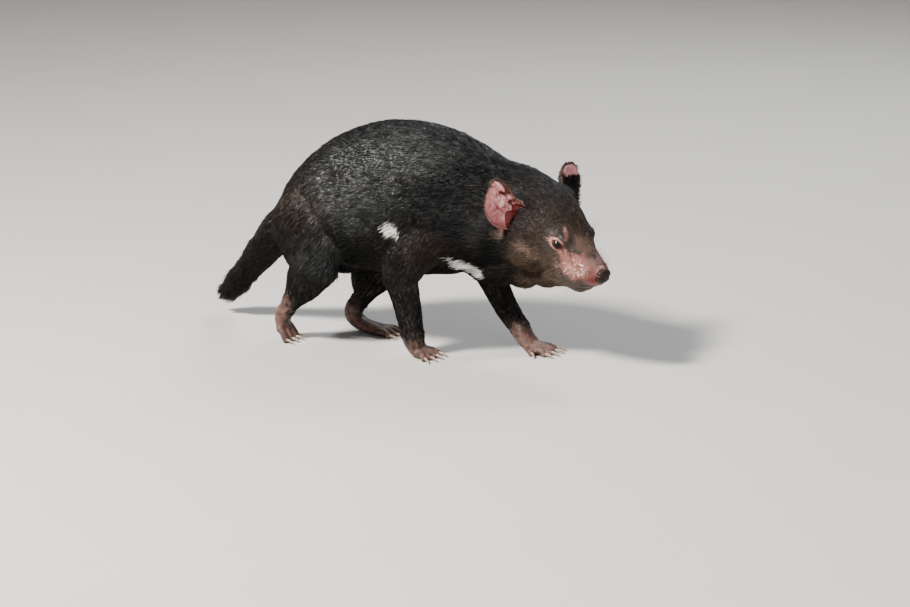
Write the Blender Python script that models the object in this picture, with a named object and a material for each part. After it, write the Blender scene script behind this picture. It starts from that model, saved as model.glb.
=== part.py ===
"""A Tasmanian devil in mid stride: a still, life-size model, parted into its named pieces.

Metres, +Z up. +X is the way the animal walks and +Y is its left side. All four feet rest at z = 0.
Lengths in the tables below are in millimetres, and MM turns them into metres.
"""

import math

import bmesh
import bpy
import numpy as np
from mathutils import Matrix, Vector
from mathutils.bvhtree import BVHTree

MM = 0.001
GAP = 0.3 * MM

# The whole model is shifted by this so that its origin is the middle of its footprint.
PLACE = Vector((-2.58, 0.89, 0.0)) * MM

# Torso stations, rump to neck: x, back line height, belly line height, half width.
TORSO = (
    (-162, 166, 128, 26),
    (-150, 190, 110, 44),
    (-124, 222, 100, 64),
    (-84, 259, 96, 79),
    (-40, 286, 95, 87),
    (5, 298, 97, 88),
    (50, 294, 99, 84),
    (90, 281, 103, 77),
    (125, 265, 112, 69),
    (155, 249, 122, 60),
    (185, 234, 135, 50),
)

# Head frame: the point midway between the eyes, turned to the animal's right and bowed.
EYES_AT = Vector((247.0, -20.0, 168.6)) * MM
HEAD_YAW = math.radians(-19.6)
HEAD_PITCH = math.radians(21.8)
HEAD_ROLL = math.radians(5.4)

# Head stations in the head frame: x forward, crown or bridge height, jaw height, half width.
HEAD = (
    (-118, 40, -92, 56),
    (-92, 46, -90, 61),
    (-62, 47, -81, 61),
    (-38, 43, -72, 55),
    (-16, 34, -65, 45.5),
    (4, 21, -59, 36),
    (22, 9, -54, 29),
    (38, 2, -47, 24.5),
    (50, -3, -39, 20),
    (59, -8, -32, 15),
)

# Fleshy masses of the head: middle, half sizes. Those off the middle are mirrored.
HEAD_MASSES = (
    ((-38, 34, -24), (36, 22, 30)),
    ((-2, 23, 9), (20, 10, 8)),
    ((43, 11, -20), (19, 12, 12)),
    ((30, 15, -30), (22, 13, 12)),
    ((27, 0, -45), (23, 12, 9.5)),
    ((-58, 33, 18), (23, 19, 18)),
)

EYE_RADIUS = 7.6 * MM
EYE_DEEP = 5.2 * MM
EYE_SPOT = (7.0, 33.0, 5.0)
EYE_GAZE = (0.50, 0.82, 0.24)
LID_THICK = 1.7 * MM
LID_OPEN = (6.1 * MM, 4.9 * MM)

NOSE_MIDDLE = (61.0, 0.0, -16.0)
NOSE_HALF = (9.5, 11.5, 9.8)
# Nostril bend in the head frame with its radius, from the front of the pad round to its side.
NOSTRIL = ((72, 4.4, -16.0, 2.3), (68, 6.8, -16.6, 2.1), (64.5, 9.6, -16.0, 1.5), (60, 13.0, -14.0, 0.8))

# Half of the mouth line in the head frame, from under the nose to the corner.
MOUTH = ((66, 0, -31), (60, 9, -32), (48, 18, -34), (32, 24, -38), (14, 30, -42), (-4, 38, -45))
MOUTH_RADIUS = 1.4

# Left ear in the head frame, root to tip: lower edge, upper edge, depth of the cup between them.
EAR = (
    ((-48, 46, -2), (-36, 38, 30), 19),
    ((-52, 60, 0), (-43, 50, 36), 21),
    ((-63, 76, 6), (-53, 61, 50), 19),
    ((-71, 86, 17), (-62, 70, 60), 14),
    ((-77, 91, 31), (-70, 79, 64), 9),
    ((-80, 92, 44), (-76, 86, 62), 4.5),
    ((-81, 91, 52), (-79.5, 89.5, 57), 1.5),
)
EAR_FACING = (0.78, 0.62, 0.08)
# The left ear is laid back by this much about its root.
EAR_LAID_BACK = {"ear_left": math.radians(28), "ear_right": 0.0}
EAR_PIVOT = (-47, 50, 15)
EAR_THICK = (3.4 * MM, 1.9 * MM)
EAR_STEPS = 2
EAR_COLUMNS = 10

# Legs: stations from shoulder or hip to the ankle, x, y, z, half width across, half depth fore and aft.
LEGS = {
    "fore_right": {
        "upper": ((66, -50, 196, 24, 34), (58, -54, 165, 30, 38), (42, -58, 135, 26, 32), (28, -58, 108, 21, 25)),
        "lower": ((28, -58, 112, 21, 25), (33, -53, 84, 18, 20.5), (36, -47, 56, 15.5, 18), (38, -43, 34, 15, 16),
                  (41, -41, 20, 16, 14)),
    },
    "fore_left": {
        "upper": ((92, 46, 192, 22, 32), (94, 52, 165, 28, 36), (97, 56, 132, 25, 30), (98, 57, 106, 20, 24)),
        "lower": ((96, 57, 112, 20, 24), (112, 52, 82, 17, 19.5), (131, 48, 52, 14.5, 16.5), (149, 45, 31, 14, 14.5),
                  (158, 44, 20, 15, 12.5)),
    },
    "hind_right": {
        "upper": ((-108, -38, 192, 32, 42), (-104, -50, 170, 36, 54), (-97, -57, 142, 32, 49), (-92, -59, 108, 24, 34)),
        "lower": ((-90, -60, 118, 25, 37), (-112, -52, 84, 20, 27), (-130, -45, 62, 14, 17), (-143, -41, 46, 12, 12.5),
                  (-148, -40, 30, 13, 11)),
    },
    "hind_left": {
        "upper": ((-100, 38, 192, 32, 42), (-78, 50, 170, 35, 53), (-48, 56, 142, 31, 46), (-24, 58, 112, 23, 32)),
        "lower": ((-24, 58, 118, 24, 34), (-46, 52, 84, 19, 24), (-68, 46, 58, 14, 16), (-84, 42, 38, 12, 13.5),
                  (-90, 41, 26, 12, 12)),
    },
}

# Feet: the sole's stations, then the ball that the toes leave: place, heading in degrees and reach.
FEET = {
    "fore_right": {
        "sole": ((36, -47, 56, 15.5, 18), (38, -43, 34, 15, 16), (41, -40, 18, 16, 13), (46, -38, 8, 18, 8.5),
                 (54, -39, 6, 19, 7)),
        "ball": (52, -38.5, 6), "heading": -24, "reach": 20, "toes": 5,
    },
    "fore_left": {
        "sole": ((131, 48, 52, 14.5, 16.5), (149, 45, 31, 14, 14.5), (159, 44, 17, 15.5, 11.5), (170, 43, 8, 17.5, 8.5),
                 (180, 42, 6, 19, 7)),
        "ball": (178, 42, 6), "heading": -4, "reach": 21, "toes": 5,
    },
    "hind_right": {
        "sole": ((-130, -45, 62, 14, 17), (-143, -41, 46, 12, 12.5), (-151, -39, 32, 13.5, 10.5), (-151, -39, 20, 15, 8)),
        "ball": (-150, -39, 18), "heading": 0, "reach": 13, "toes": 4,
    },
    "hind_left": {
        "sole": ((-68, 46, 58, 14, 16), (-84, 42, 38, 12, 13.5), (-89, 41, 23, 12.5, 12), (-78, 41, 12, 13, 9.5),
                 (-58, 40, 7.5, 14.5, 8), (-42, 40, 6, 16, 7)),
        "ball": (-44, 40, 6), "heading": 0, "reach": 21, "toes": 4,
    },
}

TOE_RADIUS = 4.3
TOE_SINK = 1.6
TOE_SPREAD = 11.0
THUMB_TURN = 48.0
CLAW_LENGTH = 11.5
CLAW_RADIUS = 1.9
CLAW_SEAT = 3.5
CLAW_TIP_CLEAR = 1.2

# Tail core stations, root to tip: x, y, z, half width, half depth.
TAIL_LOCKS = 16
TAIL = ((-140, 0, 160, 29, 28), (-170, 3, 140, 26, 29), (-198, 12, 115, 21, 24), (-222, 22, 91, 17.5, 21),
        (-244, 32, 70, 14.5, 17.5), (-263, 42, 51, 11, 13.5), (-278, 49, 36, 6.5, 8.5))

# Parting surfaces: a shoulder or hip ellipsoid for each leg, and planes by a point and a direction.
JOINTS = {
    "fore_right": {"middle": (43, -64, 142), "half": (40, 41, 82), "lean": 18,
                   "hinge": (31, -57, 98), "down": (0.08, 0.0, -1.0)},
    "fore_left": {"middle": (95, 62, 142), "half": (36, 40, 80), "lean": -3,
                  "hinge": (104, 55, 100), "down": (0.25, 0.0, -0.97)},
    "hind_right": {"middle": (-102, -64, 148), "half": (54, 43, 82), "lean": -12,
                   "hinge": (-100, -56, 98), "down": (-0.15, 0.0, -0.99)},
    "hind_left": {"middle": (-64, 64, 146), "half": (54, 43, 82), "lean": -34,
                  "hinge": (-38, 55, 97), "down": (-0.2, 0.0, -0.98)},
}
NECK_PLANE = ((112, 0, 150), (0.96, -0.15, -0.22))
HEAD_PLANE_BACK = -88
TAIL_PLANES = (((-176, 3, 140), (-0.72, 0.16, -0.67)), ((-224, 22, 88), (-0.66, 0.31, -0.68)))
ANKLES = {
    "fore_right": ((38, -43, 33), (0.08, 0.1, -0.99)),
    "fore_left": ((149, 45, 31), (0.62, -0.05, -0.78)),
    "hind_right": ((-144, -41, 44), (-0.35, 0.05, -0.93)),
    "hind_left": ((-83, 42, 40), (-0.2, -0.1, -0.97)),
}


def head_matrix():
    """The head frame as a matrix in metres."""
    turn = Matrix.Rotation(HEAD_YAW, 4, "Z") @ Matrix.Rotation(HEAD_PITCH, 4, "Y")
    return Matrix.Translation(EYES_AT) @ turn @ Matrix.Rotation(HEAD_ROLL, 4, "X")


HEAD_AT = head_matrix()


def head_point(point, side=1):
    """A point of the head frame, given in millimetres, in the world."""
    return HEAD_AT @ (Vector((point[0], point[1] * side, point[2])) * MM)


def head_way(way, side=1):
    """A direction of the head frame, in the world."""
    return (HEAD_AT.to_3x3() @ Vector((way[0], way[1] * side, way[2]))).normalized()


def curve_through(rows, steps):
    """Rows on a smooth curve through the given rows, as many steps between each pair."""
    rows = np.array(rows, float)
    slopes = np.gradient(rows, axis=0)
    found = []
    for i in range(len(rows) - 1):
        for t in np.arange(steps) / steps:
            a, b = 2 * t**3 - 3 * t**2 + 1, t**3 - 2 * t**2 + t
            c, d = 3 * t**2 - 2 * t**3, t**3 - t**2
            found.append(a * rows[i] + b * slopes[i] + c * rows[i + 1] + d * slopes[i + 1])
    return np.array(found + [rows[-1]])


def add_mesh(name, points, faces, placed=None):
    """A mesh object from points in metres, its faces turned outwards."""
    mesh = bpy.data.meshes.new(name)
    mesh.from_pydata([tuple(p) for p in points], [], faces)
    bm = bmesh.new()
    bm.from_mesh(mesh)
    bmesh.ops.recalc_face_normals(bm, faces=bm.faces)
    bm.to_mesh(mesh)
    bm.free()
    if placed is not None:
        mesh.transform(placed)
    obj = bpy.data.objects.new(name, mesh)
    bpy.context.scene.collection.objects.link(obj)
    return obj


def loft(name, stations, sides=24, steps=4, cap=0.7, placed=None, hint=(0, 1, 0)):
    """A closed tube through stations of x, y, z, half width and half depth, in millimetres.

    The half width lies along the hint, as far as the run of the tube lets it.
    """
    rows = curve_through(stations, steps)
    if cap:
        rings = []
        for end, near in ((rows[0], rows[1]), (rows[-1], rows[-2])):
            way = end[:3] - near[:3]
            reach = cap * min(end[3:]) * way / np.linalg.norm(way)
            for share in (0.55, 0.85):
                shrink = math.sqrt(1 - share**2)
                rings.append(np.concatenate([end[:3] + share * reach, end[3:] * shrink]))
        rows = np.vstack([rings[1], rings[0], rows, rings[2], rings[3]])
    tangents = np.gradient(rows[:, :3], axis=0)
    points, faces = [], []
    for row, tangent in zip(rows, tangents):
        along = Vector(tangent).normalized()
        hint = Vector(hint)
        across = (hint - along * along.dot(hint)).normalized()
        deep = along.cross(across)
        for k in range(sides):
            turn = 2 * math.pi * k / sides
            points.append((Vector(row[:3]) + across * row[3] * math.cos(turn) + deep * row[4] * math.sin(turn)) * MM)
    for i in range(len(rows) - 1):
        for k in range(sides):
            nxt = (k + 1) % sides
            faces.append((i * sides + k, i * sides + nxt, (i + 1) * sides + nxt, (i + 1) * sides + k))
    faces.append(tuple(range(sides)))
    faces.append(tuple(range(len(points) - sides, len(points))))
    return add_mesh(name, points, faces, placed)


def ellipsoid(name, middle, half, turn=None, rings=12, sides=20):
    """An ellipsoid: middle and half sizes in metres, turned by a matrix."""
    bpy.ops.mesh.primitive_uv_sphere_add(segments=sides, ring_count=rings, radius=1.0)
    obj = bpy.context.object
    obj.name = name
    placed = Matrix.Translation(middle) @ (turn or Matrix.Identity(4)) @ Matrix.Diagonal((*half, 1.0))
    obj.data.transform(placed)
    return obj


def half_space(name, point, way, size=0.9, width=None):
    """A box that starts at a plane through a point and runs the way given."""
    way = Vector(way).normalized()
    across = size if width is None else width
    placed = Matrix.Translation(Vector(point) + way * size / 2) @ way.to_track_quat("Z", "Y").to_matrix().to_4x4()
    bpy.ops.mesh.primitive_cube_add(size=1.0)
    obj = bpy.context.object
    obj.name = name
    obj.data.transform(placed @ Matrix.Diagonal((across, across, size, 1.0)))
    return obj


def copy_of(obj, name):
    """A second object with its own copy of the mesh."""
    twin = bpy.data.objects.new(name, obj.data.copy())
    bpy.context.scene.collection.objects.link(twin)
    return twin


def drop(*objects):
    """Removes helper objects."""
    for obj in objects:
        bpy.data.objects.remove(obj, do_unlink=True)


def settle(obj):
    """Applies an object's modifiers to its mesh."""
    graph = bpy.context.evaluated_depsgraph_get()
    mesh = bpy.data.meshes.new_from_object(obj.evaluated_get(graph))
    obj.modifiers.clear()
    obj.data = mesh
    return obj


def boolean(obj, operation, other, solver="EXACT"):
    """Cuts or joins one object with another, or with a collection, and applies it."""
    modifier = obj.modifiers.new("boolean", "BOOLEAN")
    modifier.operation = operation
    modifier.solver = solver
    if isinstance(other, bpy.types.Collection):
        modifier.operand_type = "COLLECTION"
        modifier.collection = other
    else:
        modifier.object = other
    return settle(obj)


def keep_largest(obj):
    """Keeps the largest closed surface of an object."""
    bm = bmesh.new()
    bm.from_mesh(obj.data)
    bmesh.ops.remove_doubles(bm, verts=bm.verts, dist=1e-6)
    left, islands = set(bm.faces), []
    while left:
        island, edge = set(), [left.pop()]
        while edge:
            face = edge.pop()
            island.add(face)
            for side in face.edges:
                for other in side.link_faces:
                    if other in left:
                        left.discard(other)
                        edge.append(other)
        islands.append(island)
    main = max(islands, key=lambda faces: sum(face.calc_area() for face in faces))
    bmesh.ops.delete(bm, geom=[f for f in bm.faces if f not in main], context="FACES")
    bmesh.ops.triangulate(bm, faces=bm.faces)
    bm.to_mesh(obj.data)
    bm.free()
    return obj


def fused(name, pieces, voxel, smoothing, triangles):
    """One smooth closed skin over overlapping pieces, thinned to about so many triangles."""
    bm = bmesh.new()
    for piece in pieces:
        bm.from_mesh(piece.data)
    mesh = bpy.data.meshes.new(name)
    bm.to_mesh(mesh)
    bm.free()
    obj = bpy.data.objects.new(name, mesh)
    bpy.context.scene.collection.objects.link(obj)
    remesh = obj.modifiers.new("fuse", "REMESH")
    remesh.mode = "VOXEL"
    remesh.voxel_size = voxel
    smooth = obj.modifiers.new("smooth", "SMOOTH")
    smooth.iterations = smoothing
    smooth.factor = 0.5
    settle(obj)
    keep_largest(obj)
    thin = obj.modifiers.new("thin", "DECIMATE")
    thin.ratio = min(1.0, triangles / len(obj.data.polygons))
    settle(obj)
    drop(*pieces)
    return obj


def torso_stations():
    """The torso table as loft stations."""
    return [(x, 0, (top + low) / 2, wide, (top - low) / 2) for x, top, low, wide in TORSO]


def head_stations():
    """The head table as loft stations in the head frame."""
    return [(x, 0, (top + low) / 2, wide, (top - low) / 2) for x, top, low, wide in HEAD]


def make_head_pieces(tag):
    """The head's lofted form and its fleshy masses, in place."""
    pieces = [loft("head_form_" + tag, head_stations(), sides=32, cap=0.6, placed=HEAD_AT)]
    turn = HEAD_AT.to_3x3().to_4x4()
    for middle, half in HEAD_MASSES:
        for side in ((1, -1) if middle[1] else (1,)):
            pieces.append(ellipsoid("mass_" + tag, head_point(middle, side), Vector(half) * MM, turn))
    return pieces


def make_trunk():
    """Torso, neck, tail core and the four legs as one skin."""
    pieces = [loft("torso_form", torso_stations(), sides=36), loft("tail_form", TAIL)]
    pieces += make_head_pieces("trunk")
    for leg, parts in LEGS.items():
        pieces.append(loft("upper_form", parts["upper"]))
        pieces.append(loft("lower_form", parts["lower"]))
    return fused("torso", pieces, voxel=3.4 * MM, smoothing=6, triangles=3900)


def surface_point(tree, point, way):
    """Where the surface is met, coming in from outside against the way given."""
    met = tree.ray_cast(point + way * 0.2, -way)
    return met[0] if met[0] else point


def mouth_way(point, side):
    """The way the lips face at a point of the mouth line."""
    return head_way((max(0.0, point[0] - 25.0), point[1], 0.0), side)


def mouth_path(tree, lift, sink):
    """The mouth line on the surface from the right corner round to the left, lifted and sunk in."""
    rows = curve_through(MOUTH, 4)
    path = []
    for side in (-1, 1):
        ordered = rows[::-1] if side < 0 else rows[1:]
        for row in ordered:
            way = mouth_way(row, side)
            met = surface_point(tree, head_point((row[0], row[1], row[2] + lift), side), way)
            path.append((met - way * sink * MM) / MM)
    return path


def tube(name, path, radius, sides=8, taper=0.45):
    """A round tube along a path in millimetres, thinner at both ends."""
    count = len(path)
    stations = []
    for i, point in enumerate(path):
        edge = min(i, count - 1 - i) / 4
        size = radius * (taper + (1 - taper) * min(1.0, edge))
        stations.append((*point, size, size))
    return loft(name, stations, sides=sides, steps=1, hint=head_way((0, 0, 1)))


def make_head():
    """The head as one finer skin, with lips, mouth line, sockets, lids and a seat for the nose pad."""
    nape = loft("nape", torso_stations()[6:], 36)
    form = fused("form", make_head_pieces("head") + [nape], 2.4 * MM, 14, 40000)
    tree = BVHTree.FromObject(form, bpy.context.evaluated_depsgraph_get())
    lips = [tube("upper_lip", mouth_path(tree, 3.0, 1.4), 2.5), tube("lower_lip", mouth_path(tree, -2.9, 1.3), 2.4)]
    head = fused("head", [form] + lips, voxel=1.7 * MM, smoothing=3, triangles=4000)
    tree = BVHTree.FromObject(head, bpy.context.evaluated_depsgraph_get())
    line = tube("mouth_line", mouth_path(tree, 0.0, 0.25), MOUTH_RADIUS, sides=6)
    boolean(head, "DIFFERENCE", line)
    drop(line)
    for side, name in ((1, "eye_left"), (-1, "eye_right")):
        make_eye(head, tree, side, name)
    make_nose(head)
    return head


def make_eye(head, tree, side, name):
    """An eyeball in a socket, with lids that stand a little over it."""
    gaze = head_way(EYE_GAZE, side)
    met = surface_point(tree, head_point(EYE_SPOT, side), gaze)
    middle = met - gaze * EYE_DEEP
    turn = gaze.to_track_quat("Z", "Y").to_matrix().to_4x4()
    lids = ellipsoid("lids", middle, [EYE_RADIUS + LID_THICK] * 3, turn, 10, 16)
    boolean(head, "UNION", lids)
    socket = ellipsoid("socket", middle, [EYE_RADIUS + GAP * 1.4] * 3, turn, 9, 14)
    boolean(head, "DIFFERENCE", socket)
    opening = ellipsoid("opening", middle + gaze * 9.0 * MM, (LID_OPEN[0], LID_OPEN[1], 9.0 * MM), turn, 8, 14)
    boolean(head, "DIFFERENCE", opening)
    ellipsoid(name, middle, [EYE_RADIUS] * 3, turn, 8, 14)
    drop(lids, socket, opening)


def make_nose(head):
    """The nose pad with its two comma nostrils, seated in the tip of the snout."""
    turn = HEAD_AT.to_3x3().to_4x4()
    middle, half = head_point(NOSE_MIDDLE), Vector(NOSE_HALF) * MM
    seat = ellipsoid("seat", middle, half + Vector((GAP, GAP, GAP)) * 1.3, turn, 10, 16)
    boolean(head, "DIFFERENCE", seat)
    drop(seat)
    pad = ellipsoid("nose_pad", middle, half, turn, 10, 16)
    for side in (1, -1):
        bend = [(*(head_point(p[:3], side) / MM), p[3], p[3]) for p in NOSTRIL]
        nostril = loft("nostril", bend, sides=8, steps=1, cap=0)
        boolean(pad, "DIFFERENCE", nostril)
        drop(nostril)
    keep_largest(pad)


def grown_copy(obj, name, amount):
    """A copy whose surface is moved outwards."""
    twin = copy_of(obj, name)
    normals = [v.normal.copy() for v in twin.data.vertices]
    for vertex, normal in zip(twin.data.vertices, normals):
        vertex.co += normal * amount
    return twin


def ear_grid(side):
    """Rows of points over the back of the ear's cup, and the thickness at each."""
    facing = head_way(EAR_FACING, side)
    rows = curve_through([(*low, *high, deep) for low, high, deep in EAR], EAR_STEPS)
    grid = []
    for row in rows:
        low, high = head_point(row[0:3], side), head_point(row[3:6], side)
        line = []
        for i in range(EAR_COLUMNS + 1):
            u = 2 * i / EAR_COLUMNS - 1
            u = math.sin(u * math.pi / 2) * 0.35 + u * 0.65
            bowl = row[6] * MM * math.sqrt(max(0.0, 1.0 - 0.97 * u * u))
            line.append(low.lerp(high, (u + 1) / 2) - facing * bowl)
        grid.append(line)
    return grid


def make_ear(head, side, name):
    """A thin cupped ear that opens forwards and outwards, its root fitted to the head."""
    pivot = head_point(EAR_PIVOT, side)
    laid = Matrix.Translation(pivot) @ Matrix.Rotation(-EAR_LAID_BACK[name], 4, head_way((0, 1, 0)))
    laid = laid @ Matrix.Translation(-pivot)
    grid = [[laid @ point for point in line] for line in ear_grid(side)]
    high, wide = len(grid), EAR_COLUMNS + 1
    shell = add_mesh("shell", [p for line in grid for p in line],
                     [(j * wide + i, j * wide + i + 1, (j + 1) * wide + i + 1, (j + 1) * wide + i)
                      for j in range(high - 1) for i in range(wide - 1)])
    facing = laid.to_3x3() @ head_way(EAR_FACING, side)
    outer = [v.co.copy() for v in shell.data.vertices]
    normals = [v.normal * (1 if v.normal.dot(facing) > 0 else -1) for v in shell.data.vertices]
    thick = [EAR_THICK[0] + (EAR_THICK[1] - EAR_THICK[0]) * min(1.0, (k // wide) / (high - 4)) for k in range(len(outer))]
    faces = [tuple(f.vertices) for f in shell.data.polygons]
    drop(shell)
    count = len(outer)
    points = outer + [p + n * t for p, n, t in zip(outer, normals, thick)]
    faces += [tuple(k + count for k in reversed(face)) for face in faces]
    rim = [j * wide for j in range(high)] + [(high - 1) * wide + i for i in range(1, wide)]
    rim += [j * wide + EAR_COLUMNS for j in range(high - 2, -1, -1)] + list(range(EAR_COLUMNS - 1, 0, -1))
    faces += [(a, b, b + count, a + count) for a, b in zip(rim, rim[1:] + rim[:1])]
    ear = add_mesh(name, points, faces)
    cutter = grown_copy(head, "ear_seat", GAP * 1.4)
    boolean(ear, "DIFFERENCE", cutter)
    drop(cutter)
    return keep_largest(ear)


def make_foot(leg, name):
    """A foot with its toes: pads cut flat at the floor, and a claw seated in each toe."""
    foot = FEET[leg]
    ball = Vector(foot["ball"])
    inner = 1 if leg.endswith("right") else -1
    pieces = [loft("sole", foot["sole"], sides=20)]
    tips = []
    for i in range(foot["toes"]):
        step = (i - 1.5) * inner
        turn = foot["heading"] - step * TOE_SPREAD
        base = ball + Vector((0, -step * 8.2, 0))
        reach = foot["reach"] * (1.0 if i in (1, 2) else 0.88)
        if i == 4:
            turn = foot["heading"] + inner * THUMB_TURN
            base = ball + Vector((-9, inner * 11, 0))
            reach = 15
        way = Vector((math.cos(math.radians(turn)), math.sin(math.radians(turn)), 0))
        end = base + way * reach
        end.z = TOE_RADIUS - TOE_SINK
        knuckle = base.lerp(end, 0.5) + Vector((0, 0, 2.4))
        rows = [(*base, 5.6, 5.6), (*knuckle, 4.4, 4.6), (*end, TOE_RADIUS, TOE_RADIUS)]
        pieces.append(loft("toe", rows, sides=12))
        tips.append((end, way))
    body = fused(name, pieces, voxel=1.3 * MM, smoothing=3, triangles=350)
    floor = half_space("floor", (0, 0, 0), (0, 0, -1))
    boolean(body, "DIFFERENCE", floor)
    drop(floor)
    ankle, down = ANKLES[leg]
    part = beyond(body, Vector(ankle) * MM, down, "part")
    drop(body)
    part.name = name
    for i, (end, way) in enumerate(tips):
        make_claw(part, name.replace("foot", "claw") + "_" + "bcdea"[i], end, way)
    return keep_largest(part)


def claw_stations(end, way, grow):
    """A claw's stations: seated in the toe, then arched forwards and down to the point."""
    up = Vector((0, 0, 1))
    start = end + way * (TOE_RADIUS * 0.62) + up * 1.9
    tip_drop = start.z - CLAW_TIP_CLEAR
    rows = ((-CLAW_SEAT - grow, -0.4, 1.0), (0.0, 0.0, 1.0), (CLAW_LENGTH * 0.42, -0.10 * tip_drop, 0.80),
            (CLAW_LENGTH * 0.78, -0.48 * tip_drop, 0.48), (CLAW_LENGTH, -tip_drop, 0.16))
    return [(*(start + way * ahead + up * rise), CLAW_RADIUS * size * 0.8 + grow, CLAW_RADIUS * size + grow)
            for ahead, rise, size in rows]


def make_claw(foot, name, end, way):
    """One curved claw with its seat cut in the toe."""
    seat = loft("seat", claw_stations(end, way, 0.3)[:3], sides=6, steps=1, cap=0)
    boolean(foot, "DIFFERENCE", seat)
    drop(seat)
    return keep_largest(loft(name, claw_stations(end, way, 0.0), sides=6, steps=1, cap=0))


def add_lock(name, root, way, flat, length, width, thick, bend, fuse):
    """A flat tapered lock of hair: a bent diamond section that runs to a blunt tip."""
    side = way.cross(flat).normalized()
    points, faces = [], []
    for share, size in ((0.0, 0.75), (0.35, 1.0), (0.70, 0.66), (1.0, 0.18)):
        middle = root + way * length * share + flat * bend * share * share
        half, deep = side * width / 2 * size, flat * thick / 2 * max(size, 0.3)
        points += [middle + half, middle + deep, middle - half, middle - deep]
    for j in range(3):
        for k in range(4):
            a, b = j * 4 + k, j * 4 + (k + 1) % 4
            faces.append((a, b, b + 4, a + 4))
    faces += [(0, 1, 2, 3), (12, 13, 14, 15)]
    lock = add_mesh(name, points, faces)
    bpy.context.scene.collection.objects.unlink(lock)
    fuse.objects.link(lock)
    bm = bmesh.new()
    bm.from_mesh(lock.data)
    bmesh.ops.triangulate(bm, faces=bm.faces)
    bm.to_mesh(lock.data)
    bm.free()


def dress_tail(tail_end):
    """Coarse tapered locks over the last length of the tail, fused with it into one brush."""
    dice = np.random.default_rng(11)
    axis = curve_through(TAIL, 8)
    fuse = bpy.data.collections.new("locks")
    bpy.context.scene.collection.children.link(fuse)
    first = int(len(axis) * 0.66)
    for i in range(TAIL_LOCKS):
        share = (i + 0.5) / TAIL_LOCKS
        k = first + int(share * (len(axis) - first - 1))
        here, ahead = axis[k], axis[k] - axis[k - 2]
        way = Vector(ahead[:3]).normalized()
        turn = 2.4 * i + dice.uniform(-0.2, 0.2)
        side = (Vector((0, 1, 0)) - way * way.y).normalized()
        out = side * math.cos(turn) + way.cross(side) * math.sin(turn)
        root = (Vector(here[:3]) + out * (here[3] * 0.62)) * MM
        flow = (way + out * dice.uniform(0.05, 0.16)).normalized()
        flat = (out - flow * out.dot(flow)).normalized()
        length = dice.uniform(24, 33) * MM
        add_lock("lock", root, flow, flat, length, dice.uniform(9.0, 11.5) * MM, 3.4 * MM, -2.4 * MM, fuse)
    boolean(tail_end, "UNION", fuse)
    for lock in list(fuse.objects):
        drop(lock)
    bpy.data.collections.remove(fuse)
    return keep_largest(tail_end)


def take(source, region, grown, name):
    """Moves what lies in a region into a new node, and leaves the thin parting gap round it."""
    piece = boolean(copy_of(source, name), "INTERSECT", region)
    boolean(source, "DIFFERENCE", grown)
    drop(region, grown)
    return keep_largest(piece)


def beyond(source, point, way, name, width=None):
    """Parts a source by a plane: what lies beyond it becomes a new node."""
    way = Vector(way).normalized()
    point = Vector(point)
    region = half_space("region", point + way * GAP / 2, way, width=width)
    grown = half_space("grown", point - way * GAP / 2, way, width=width)
    return take(source, region, grown, name)


def part_legs(trunk):
    """Parts each leg from the trunk: the lower leg at its hinge, then the upper leg out of the flank."""
    for leg, joint in JOINTS.items():
        fore = leg.startswith("fore")
        lower_name = ("forearm_" if fore else "shank_") + leg[5:]
        lower = beyond(trunk, Vector(joint["hinge"]) * MM, joint["down"], lower_name, width=0.09)
        ankle, way = ANKLES[leg]
        drop(beyond(lower, Vector(ankle) * MM, way, "spare"))
        keep_largest(lower)
        turn = Matrix.Rotation(math.radians(joint["lean"]), 4, "Y")
        middle, half = Vector(joint["middle"]) * MM, Vector(joint["half"]) * MM
        region = ellipsoid("region", middle, half, turn, 11, 18)
        grown = ellipsoid("grown", middle, half + Vector((GAP, GAP, GAP)) * 1.25, turn, 11, 18)
        take(trunk, region, grown, ("upper_arm_" if fore else "thigh_") + leg[5:])


def part_trunk(trunk):
    """Parts the tail in two lengths and the neck from the torso, and clears the place of the head."""
    (first, first_way), (second, second_way) = TAIL_PLANES
    tail_root = beyond(trunk, Vector(first) * MM, first_way, "tail_root", width=0.2)
    tail_end = beyond(tail_root, Vector(second) * MM, second_way, "tail_end")
    drop(beyond(trunk, head_point((HEAD_PLANE_BACK, 0, -20)), head_way((1, 0, 0)), "spare"))
    beyond(trunk, Vector(NECK_PLANE[0]) * MM, NECK_PLANE[1], "neck")
    keep_largest(tail_root)
    keep_largest(trunk)
    return tail_end


# Colour and roughness of each kind of node, by the start of its name.
FINISHES = {
    "eye": ((0.03, 0.02, 0.02), 0.08),
    "nose": ((0.05, 0.03, 0.03), 0.35),
    "ear": ((0.55, 0.28, 0.27), 0.60),
    "foreclaw": ((0.62, 0.52, 0.44), 0.40),
    "hindclaw": ((0.62, 0.52, 0.44), 0.40),
    "forefoot": ((0.24, 0.13, 0.11), 0.65),
    "hindfoot": ((0.24, 0.13, 0.11), 0.65),
    "": ((0.020, 0.018, 0.018), 0.55),
}


def finish(obj):
    """Gives a node its own material and smooth shading."""
    kind = next(start for start in FINISHES if obj.name.startswith(start))
    colour, rough = FINISHES[kind]
    material = bpy.data.materials.new(obj.name)
    material.use_nodes = True
    shader = material.node_tree.nodes["Principled BSDF"]
    shader.inputs["Base Color"].default_value = (*colour, 1.0)
    shader.inputs["Roughness"].default_value = rough
    shader.inputs["Metallic"].default_value = 0.0
    obj.data.materials.clear()
    obj.data.materials.append(material)
    obj.data.shade_smooth()
    obj.data.set_sharp_from_angle(angle=math.radians(50))


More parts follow.
